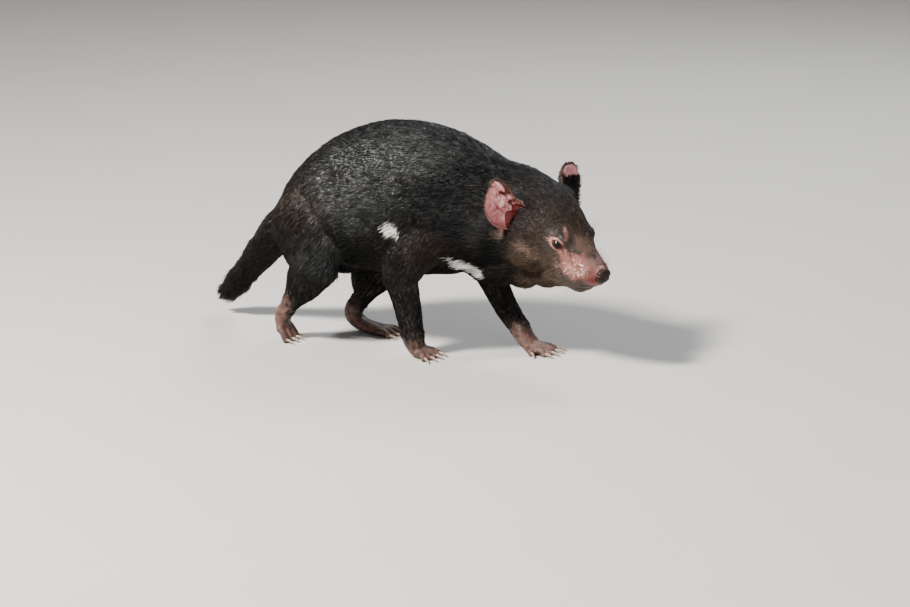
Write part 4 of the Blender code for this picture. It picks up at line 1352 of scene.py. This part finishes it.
def make_whiskers():
    """All whiskers of both sides as one mesh."""
    tree = surface_tree(skin)
    verts, polys = [], []
    for sign in SIDES.values():
        for spot, way, reach in whisker_table():
            hit = tree.find_nearest(Vector(from_head([spot * (1, sign, 1)])[0]))
            at, out = np.array(hit[0]), np.array(hit[1])
            way = unit(head_way(way[0], way[1] * sign, way[2]) + 0.5 * out)
            sag = np.array((0, 0, -1.0)) * 0.16
            across = unit(np.cross(way, (0.3, 0.2, 1.0)))
            deep = np.cross(way, across)
            start = len(verts)
            for ring in range(WHISKER_RINGS):
                share = ring / (WHISKER_RINGS - 1)
                middle = at - out * 0.6 * MM + way * share * reach * MM + sag * share**2 * reach * MM
                thick = WHISKER_RADIUS * (1 - 0.85 * share)
                for k in range(WHISKER_SIDES):
                    turn = 2 * math.pi * k / WHISKER_SIDES
                    verts.append(middle + thick * (math.cos(turn) * across + math.sin(turn) * deep))
            for ring in range(WHISKER_RINGS - 1):
                for k in range(WHISKER_SIDES):
                    a = start + ring * WHISKER_SIDES + k
                    b = start + ring * WHISKER_SIDES + (k + 1) % WHISKER_SIDES
                    polys.append((a, b, b + WHISKER_SIDES, a + WHISKER_SIDES))
            polys.append(tuple(range(start + WHISKER_SIDES - 1, start - 1, -1)))
            polys.append(tuple(range(len(verts) - WHISKER_SIDES, len(verts))))
    mesh = bpy.data.meshes.new("whiskers")
    mesh.from_pydata([tuple(point) for point in verts], [], polys)
    obj = bpy.data.objects.new("whiskers", mesh)
    bpy.context.scene.collection.objects.link(obj)
    edit(obj, bpy.ops.mesh.normals_make_consistent, inside=False)
    obj.data.shade_smooth()
    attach(obj, "root")
    return obj


whiskers = make_whiskers()
print("whiskers:", triangles(whiskers), "triangles")

# %% [markdown]
# ## Shader maths
# A material is a graph of nodes. Wrapping a socket in a small class lets us write the sums as sums:
# `1 - mask` adds a Math node for us. Any other node comes from one method of the finish.
# %% Sockets that can be added and multiplied
class Value:
    """An output socket that takes part in sums."""

    def __init__(self, tree, socket):
        self.tree, self.socket = tree, socket

    def math(self, operation, left, right, clamp=False):
        node = self.tree.nodes.new("ShaderNodeMath")
        node.operation = operation
        node.use_clamp = clamp
        for slot, item in zip(node.inputs, (left, right)):
            if isinstance(item, Value):
                self.tree.links.new(item.socket, slot)
            elif item is not None:
                slot.default_value = item
        return Value(self.tree, node.outputs[0])

    def __add__(self, other):
        return self.math("ADD", self, other)

    def __sub__(self, other):
        return self.math("SUBTRACT", self, other)

    def __rsub__(self, other):
        return self.math("SUBTRACT", other, self)

    def __mul__(self, other):
        return self.math("MULTIPLY", self, other)

    def held(self):
        """The value kept between 0 and 1."""
        return self.math("ADD", self, 0.0, clamp=True)

    def over(self, edge, soft):
        """0 below an edge and 1 above it, with a soft step."""
        return self.math("MULTIPLY", self - (edge - soft / 2), 1 / soft, clamp=True)

    __radd__, __rmul__ = __add__, __mul__


class Finish:
    """A procedural material and the ways to add to it."""

    def __init__(self, name, roughness=0.5, **constants):
        self.material = bpy.data.materials.new(name)
        self.material.use_nodes = True
        self.tree = self.material.node_tree
        self.shader = self.tree.nodes["Principled BSDF"]
        self.shader.inputs["Roughness"].default_value = roughness
        for key, value in constants.items():
            self.shader.inputs[key.replace("_", " ")].default_value = value

    def node(self, kind, settings=None, inputs=None, output=0):
        """A node of any kind: its settings first, then the values or links of its sockets."""
        made = self.tree.nodes.new("ShaderNode" + kind)
        for key, value in (settings or {}).items():
            setattr(made, key, value)
        for key, value in (inputs or {}).items():
            self.join(value, made.inputs[key])
        return Value(self.tree, made.outputs[output])

    def join(self, value, socket):
        """Links or sets one socket."""
        if isinstance(value, Value):
            self.tree.links.new(value.socket, socket)
        else:
            socket.default_value = value

    def attribute(self, name, output="Fac"):
        """A number or vector kept on the mesh."""
        return self.node("Attribute", {"attribute_name": name}, output=output)

    def attributes(self, *names):
        """Several numbers kept on the mesh."""
        return [self.attribute(name) for name in names]

    def place(self):
        """Object coordinates."""
        return self.node("TexCoord", output="Object")

    def noise(self, at, scale, detail=3.0, rough=0.55):
        """Soft noise from 0 to 1."""
        inputs = {"Vector": at, "Scale": scale, "Detail": detail, "Roughness": rough}
        return self.node("TexNoise", inputs=inputs)

    def cells(self, at, scale):
        """The distance to the nearest of many scattered points."""
        return self.node("TexVoronoi", inputs={"Vector": at, "Scale": scale})

    def mix(self, share, first, second):
        """A colour between two colours. The node itself keeps the share between 0 and 1."""
        settings = {"data_type": "RGBA", "clamp_factor": True}
        return self.node("Mix", settings, {0: share, 6: first, 7: second}, output=2)

    def paint(self, tone, *layers):
        """A colour with further colours laid over it in turn, each given as its share and itself."""
        for share, layer in layers:
            tone = self.mix(share, tone, layer)
        return tone

    def bump(self, height, distance, strength=1.0):
        """A bump of this height in metres."""
        return self.node("Bump", inputs={"Height": height, "Distance": distance, "Strength": strength})

    def set(self, **inputs):
        """Feeds the shader."""
        for key, value in inputs.items():
            self.join(value, self.shader.inputs[key.replace("_", " ")])
        return self.material


def colour(red, green, blue):
    """A colour with full alpha."""
    return (red, green, blue, 1.0)


BLACK = colour(0.0045, 0.0046, 0.0048)
BROWN_BLACK = colour(0.024, 0.0135, 0.0075)
# Coat greys and browns below: paler tips with painted glints, then the grey of the painted sheen.
GREY_TIP_AND_GLINT = colour(0.060, 0.060, 0.063)
BROWN_TIP_AND_GLINT = colour(0.085, 0.066, 0.052)
PAINTED_SHEEN_GREY = colour(0.104, 0.108, 0.108)
TAN_HAIR = colour(0.20, 0.135, 0.100)
BRISTLES = (colour(0.19, 0.115, 0.095), colour(0.66, 0.50, 0.44))
WHITE = colour(0.95, 0.95, 0.92)
PINK = colour(0.215, 0.078, 0.062)
PALE_PINK = colour(0.66, 0.325, 0.265)
DARK_SKIN = colour(0.020, 0.014, 0.013)
FOOT = colour(0.145, 0.070, 0.051)
FOOT_DARK = colour(0.036, 0.021, 0.018)
LIP_RED = colour(0.13, 0.013, 0.012)


# %% [markdown]
# ## Finish of the skin
# Under the coat the skin is nearly black. On the muzzle, round the eyes and on the feet it is bare and
# pink to brown, mottled, with fine creases that catch the light and follicle dots painted pale as
# highlights. The floor of the ear is dark red, partly painted shade, darkest in the grooves of its folds.
# %% Skin
def skin_finish():
    """Dark skin with pink and brown bare places."""
    finish = Finish("skin", 0.5, Specular_IOR_Level=0.32)
    at = finish.place()
    white, pink, tan, bare = finish.attributes("white", "pink", "tan", "bare")
    lip, mouth, lid, canal = finish.attributes("lip", "mouth", "lid", "canal")
    glow, mauve, flush, mound = finish.attributes("glow", "mauve", "flush", "mound")
    blotch = finish.noise(at, 130.0, 4.0)
    fine = finish.noise(at, 900.0, 3.0)
    pores = finish.cells(at, 520.0)
    rosy = finish.paint(
        finish.mix(blotch * 1.7 + fine * 2.0 + glow * 0.45 - 2.02, PINK, PALE_PINK),
        (mauve * 1.25 - 0.3 * blotch, colour(0.165, 0.098, 0.084)),
        (flush * (0.35 + fine.over(0.50, 0.16)) - 0.2 * blotch, colour(0.150, 0.050, 0.040)),
        (pores.over(0.34, 0.3) * -0.6 + 0.6, colour(0.12, 0.055, 0.048)),
        # Painted highlights: pale tops of the follicle mounds.
        (mound.over(0.62, 0.5) * 0.85, colour(0.92, 0.68, 0.62)),
    )
    tone = finish.paint(
        finish.mix(blotch.over(0.5, 0.5), DARK_SKIN, BROWN_BLACK),
        (tan * 0.8, colour(0.16, 0.090, 0.066)),
        (pink * 1.35 - 0.45 * blotch, rosy),
        # The floor of the ear: dark red, partly painted shade, darkest in the grooves of its folds.
        (canal * 0.9, colour(0.20, 0.020, 0.016)),
        (bare, finish.mix(blotch * 3.2 + fine * 0.6 - 1.40, FOOT_DARK, FOOT)),
        (white, colour(0.75, 0.71, 0.67)),
        (lip * (1.3 - 0.6 * blotch), LIP_RED),
        (lid * 0.95, colour(0.035, 0.008, 0.007)),
        (mouth * 0.9, colour(0.012, 0.006, 0.006)),
    )
    creases = finish.cells(at, 260.0)
    bump = finish.bump(creases * 0.6 + fine * 0.4 - pores * 0.3, 0.0007, 0.9)
    rough = 0.52 - 0.14 * pink - 0.25 * lip - 0.2 * lid + 0.15 * (fine - 0.5)
    return finish.set(Base_Color=tone, Roughness=rough, Normal=bump)


skin.data.materials.append(skin_finish())
print("skin painted")

# %% [markdown]
# ## Finish of the coat
# The coat is black with brown tints on rump, elbow and face, a blue-grey sheen painted on the back and
# flank, paler strands painted as glints, and an underside painted darker as shade. Each tuft has its own
# shade, a little paler and browner to the tip, and takes its marking from its root.
# %% Coat
def coat_finish(name, gloss):
    """Hair with markings, with painted sheen, painted glints and painted shade underneath, glossier or
    duller.
    """
    finish = Finish(name, 0.3, Specular_IOR_Level=0.08, Coat_Roughness=0.30)
    white, pink, brown, tan, bare = finish.attributes("white", "pink", "brown", "tan", "bare")
    shade, tip, under, shine = finish.attributes("shade", "tip", "under", "sheen")
    patch = finish.noise(finish.attribute("root", "Vector"), 26.0, 3.0)
    warm = brown * 1.2 + (patch - 0.5) * 0.5 * (brown + 0.5) + (shade - 0.5) * 0.35
    # Painted glints: random paler strands, more where the coat is brown, and the paler tips that the hair
    # has.
    pale = (shade.over(0.68, 0.2) * (0.45 + 0.4 * brown) * (patch + 0.5) + tip * 0.10).held()
    # Painted sheen: grey laid in clumps where SHEENS puts it.
    painted_sheen = shine * (patch * 1.6 - 0.3).held() * (0.25 + shade)
    tone = finish.paint(
        finish.mix(warm, BLACK, BROWN_BLACK),
        # Fewer painted glints on roots that face down: painted shade on the underside.
        (pale * (0.55 - 0.45 * under), finish.mix(brown * 1.6, GREY_TIP_AND_GLINT, BROWN_TIP_AND_GLINT)),
        (painted_sheen * 0.62, PAINTED_SHEEN_GREY),
        (tan * (0.3 + 1.2 * shade), TAN_HAIR),
        (pink * 0.75, finish.mix(shade.over(0.60, 0.3), *BRISTLES)),
        (bare * 0.3, colour(0.22, 0.13, 0.10)),
        (white, finish.mix(shade, WHITE, colour(0.68, 0.65, 0.60))),
    )
    rough = 0.29 + 0.20 * shade + 0.25 * white + 0.14 * brown + 0.1 * tan + 0.2 * under
    sheen = shade.over(0.42, 0.4) * (patch * 2.4 - 0.5).held() * (1 - 0.85 * under)
    sheen = sheen * (0.3 + 0.9 * shine) * gloss
    return finish.set(Base_Color=tone, Roughness=rough, Coat_Weight=sheen.held())


DULL_COATS = ("coat_tail", "coat_forelegs", "coat_shanks", "coat_ears", "coat_face", "coat_crown")
glossy, dull = coat_finish("coat", 1.6), coat_finish("coat_dull", 0.4)
for coat in coats:
    coat.data.materials.append(dull if coat.name.startswith(DULL_COATS) else glossy)
print("coat painted, dull on", [coat.name for coat in coats if coat.name.startswith(DULL_COATS)])


def whisker_finish():
    """Dark whiskers with paler stretches."""
    finish = Finish("whisker", 0.35)
    paler = finish.noise(finish.place(), 60.0).over(0.5, 0.4)
    return finish.set(Base_Color=finish.mix(paler, colour(0.02, 0.015, 0.013), colour(0.16, 0.12, 0.10)))


whiskers.data.materials.append(whisker_finish())


# %% [markdown]
# ## Finish of ears, eyes, nose and claws
# Light glows in the thin ear, so its inside is a bright mottled pink, with painted highlights on its ridges
# and painted shade, dark red, in its folds, and its back is dark. The eye is wet and nearly black. The nose
# pad is moist and finely pebbled. Claws are pale horn.
# %% Ears
def ear_finish():
    """Pink inside with painted highlights on the ridges, dark red painted shade in the folds, and a dark
    back and rim, the rim partly painted shadow.
    """
    finish = Finish("ear", 0.4, Coat_Weight=0.3, Coat_Roughness=0.25)
    across, up, ridge, furred = finish.attributes("across", "up", "ridge", "furred")
    at = finish.place()
    blotch = finish.noise(at, 170.0, 4.0)
    fine = finish.noise(at, 800.0, 3.0)
    veins = finish.cells(at, 110.0)
    # Painted shade: darker red low in the bowl of the ear, away from the ridges.
    deep = (1 - up.over(0.36, 0.5)) * (1 - (ridge * 1.6).held())
    edge = (across * (1 - across) * 4).over(0.08, 0.14)
    rosy = finish.paint(
        finish.mix(blotch * 1.8 - 0.4, colour(0.46, 0.125, 0.125), colour(0.78, 0.34, 0.35)),
        # Painted highlights: the tops of the ridges are near white.
        (ridge * 1.1 - 0.1, colour(0.92, 0.60, 0.60)),
        (deep * 0.35, colour(0.36, 0.055, 0.05)),
        # Painted shade: the grooves between the ridges are nearly black red.
        (ridge * -2.2 - 0.1, colour(0.10, 0.010, 0.008)),
        ((1 - veins.over(0.16, 0.2)) * 0.35, colour(0.38, 0.07, 0.07)),
        # A dark band inside the upper rim: the furred rim's own dark brown, with painted shadow of the rim.
        (across.over(0.90, 0.10) * up.over(0.25, 0.3) * 0.9, colour(0.075, 0.020, 0.015)),
        ((1 - edge) * 0.6, colour(0.17, 0.075, 0.060)),
        (furred, colour(0.014, 0.009, 0.008)),
    )
    bump = finish.bump(blotch * 0.6 + fine * 0.4, 0.0008, 0.8)
    return finish.set(Base_Color=rosy, Roughness=0.30 + 0.24 * fine, Normal=bump)


def ear_back_finish():
    """The dark back of the ear."""
    finish = Finish("ear_back", 0.6)
    at = finish.place()
    blotch = finish.noise(at, 200.0, 3.0)
    tone = finish.mix(blotch, colour(0.030, 0.016, 0.014), colour(0.10, 0.045, 0.04))
    return finish.set(Base_Color=tone, Normal=finish.bump(blotch, 0.0005, 0.6))


ear_inside, ear_back = ear_finish(), ear_back_finish()
for side, ear in ears.items():
    ear.data.materials.append(ear_inside)
    ear.data.materials.append(ear_back)
    facing = ear_spine(0.5, side)[1]
    for face in ear.data.polygons:
        face.material_index = 0 if face.normal @ Vector(facing) > 0.0 else 1
print("ears painted")

# %% Eyes, nose and claws
def eye_finish():
    """Dark brown iris, black pupil and a reddish brown white at the edge."""
    finish = Finish("eye", 0.25, Specular_IOR_Level=0.12, Coat_Weight=0.07, Coat_Roughness=0.06)
    turn = finish.attribute("iris")
    streak = finish.noise(finish.place(), 1400.0, 3.0)
    tone = finish.paint(
        finish.mix(streak, colour(0.014, 0.005, 0.003), colour(0.040, 0.013, 0.007)),
        (turn.over(0.90, 0.03), colour(0.002, 0.002, 0.002)),
        (1 - turn.over(0.66, 0.05), colour(0.06, 0.015, 0.011)),
    )
    return finish.set(Base_Color=tone)


def nose_finish():
    """Moist pebbled black."""
    finish = Finish("nose", 0.3, Specular_IOR_Level=0.15, Coat_Weight=0.06, Coat_Roughness=0.25)
    at = finish.place()
    pebble = finish.cells(at, 1300.0)
    blotch = finish.noise(at, 300.0, 3.0)
    tone = finish.mix(blotch, colour(0.009, 0.0045, 0.003), colour(0.027, 0.012, 0.008))
    bump = finish.bump(pebble, 0.0004, 0.7)
    return finish.set(Base_Color=tone, Roughness=0.36 + 0.22 * blotch, Normal=bump)


def claw_finish():
    """Pale horn with darker streaks and worn tips."""
    finish = Finish("claw", 0.4)
    at = finish.place()
    streak = finish.noise(at, 420.0, 4.0)
    tone = finish.mix(streak.over(0.5, 0.5), colour(0.40, 0.31, 0.24), colour(0.20, 0.13, 0.10))
    bump = finish.bump(streak, 0.0003, 0.5)
    return finish.set(Base_Color=tone, Roughness=0.34 + 0.2 * streak, Normal=bump)


for eye in eyes:
    eye.data.materials.append(eye_finish())
nose.data.materials.append(nose_finish())
claw_material = claw_finish()
for claw in claws:
    claw.data.materials.append(claw_material)
print("materials:", len(bpy.data.materials))

# %% [markdown]
# ## Floor, light and camera
# A museum model stands on a plain pale floor in soft light. A panel high behind the viewer's left shoulder
# stands in for the sun of the photograph, a weaker one fills from the right and one lights the back. The
# camera looks down a little at the animal's right side, with the photograph's framing.
# %% Floor, light and camera
CAMERA_AT = (1.45105, -2.94689, 0.87499)
CAMERA_TURN, CAMERA_TILT = math.radians(25), math.radians(14)
LENS, SENSOR = 103.25, 36.0
LIT_AT = Vector((0, 0, 0.15))
# Name, place, side in metres, power in watts, tint.
LIGHTS = (
    ("key", (-0.95, -1.95, 2.3), 0.5, 285.0, (1.0, 0.97, 0.92)),
    ("fill", (2.3, -1.6, 1.3), 1.8, 28.0, (0.90, 0.95, 1.0)),
    ("back", (0.2, 2.2, 2.4), 1.0, 60.0, (0.92, 0.96, 1.0)),
)
SKY_TINT, SKY_STRENGTH = colour(0.78, 0.80, 0.83), 0.25


def make_floor():
    """A wide pale floor."""
    floor = start_from(bpy.ops.mesh.primitive_plane_add, "floor", size=14.0)
    finish = Finish("floor", 0.75)
    speckle = finish.noise(finish.place(), 5.0)
    tone = finish.mix(speckle, colour(0.56, 0.54, 0.51), colour(0.60, 0.58, 0.55))
    floor.data.materials.append(finish.set(Base_Color=tone))


def make_light(name, place, size, power, tint):
    """A soft square panel that faces the animal."""
    bpy.ops.object.light_add(type="AREA", location=place)
    light = bpy.context.object
    light.name = name
    light.data.size = size
    light.data.energy = power
    light.data.color = tint
    light.rotation_euler = (LIT_AT - Vector(place)).to_track_quat("-Z", "Y").to_euler()


def make_camera():
    """The photograph's camera, from its turn round the upright and its tilt down."""
    turn, tilt = CAMERA_TURN, CAMERA_TILT
    right = Vector((math.cos(turn), math.sin(turn), 0))
    up = Vector((-math.sin(turn) * math.sin(tilt), math.cos(turn) * math.sin(tilt), math.cos(tilt)))
    back = Vector((math.sin(turn) * math.cos(tilt), -math.cos(turn) * math.cos(tilt), math.sin(tilt)))
    turned = Matrix((right, up, back)).transposed().to_4x4()
    bpy.ops.object.camera_add()
    camera = bpy.context.object
    camera.matrix_world = Matrix.Translation(CAMERA_AT) @ turned
    camera.data.lens = LENS
    camera.data.sensor_width = SENSOR
    bpy.context.scene.camera = camera


def make_sky():
    """A weak even light from all round."""
    world = bpy.data.worlds.new("studio")
    bpy.context.scene.world = world
    world.use_nodes = True
    background = world.node_tree.nodes["Background"]
    background.inputs["Color"].default_value = SKY_TINT
    background.inputs["Strength"].default_value = SKY_STRENGTH


make_floor()
for light in LIGHTS:
    make_light(*light)
make_camera()
make_sky()
print("lights:", [light[0] for light in LIGHTS], "lens", LENS)
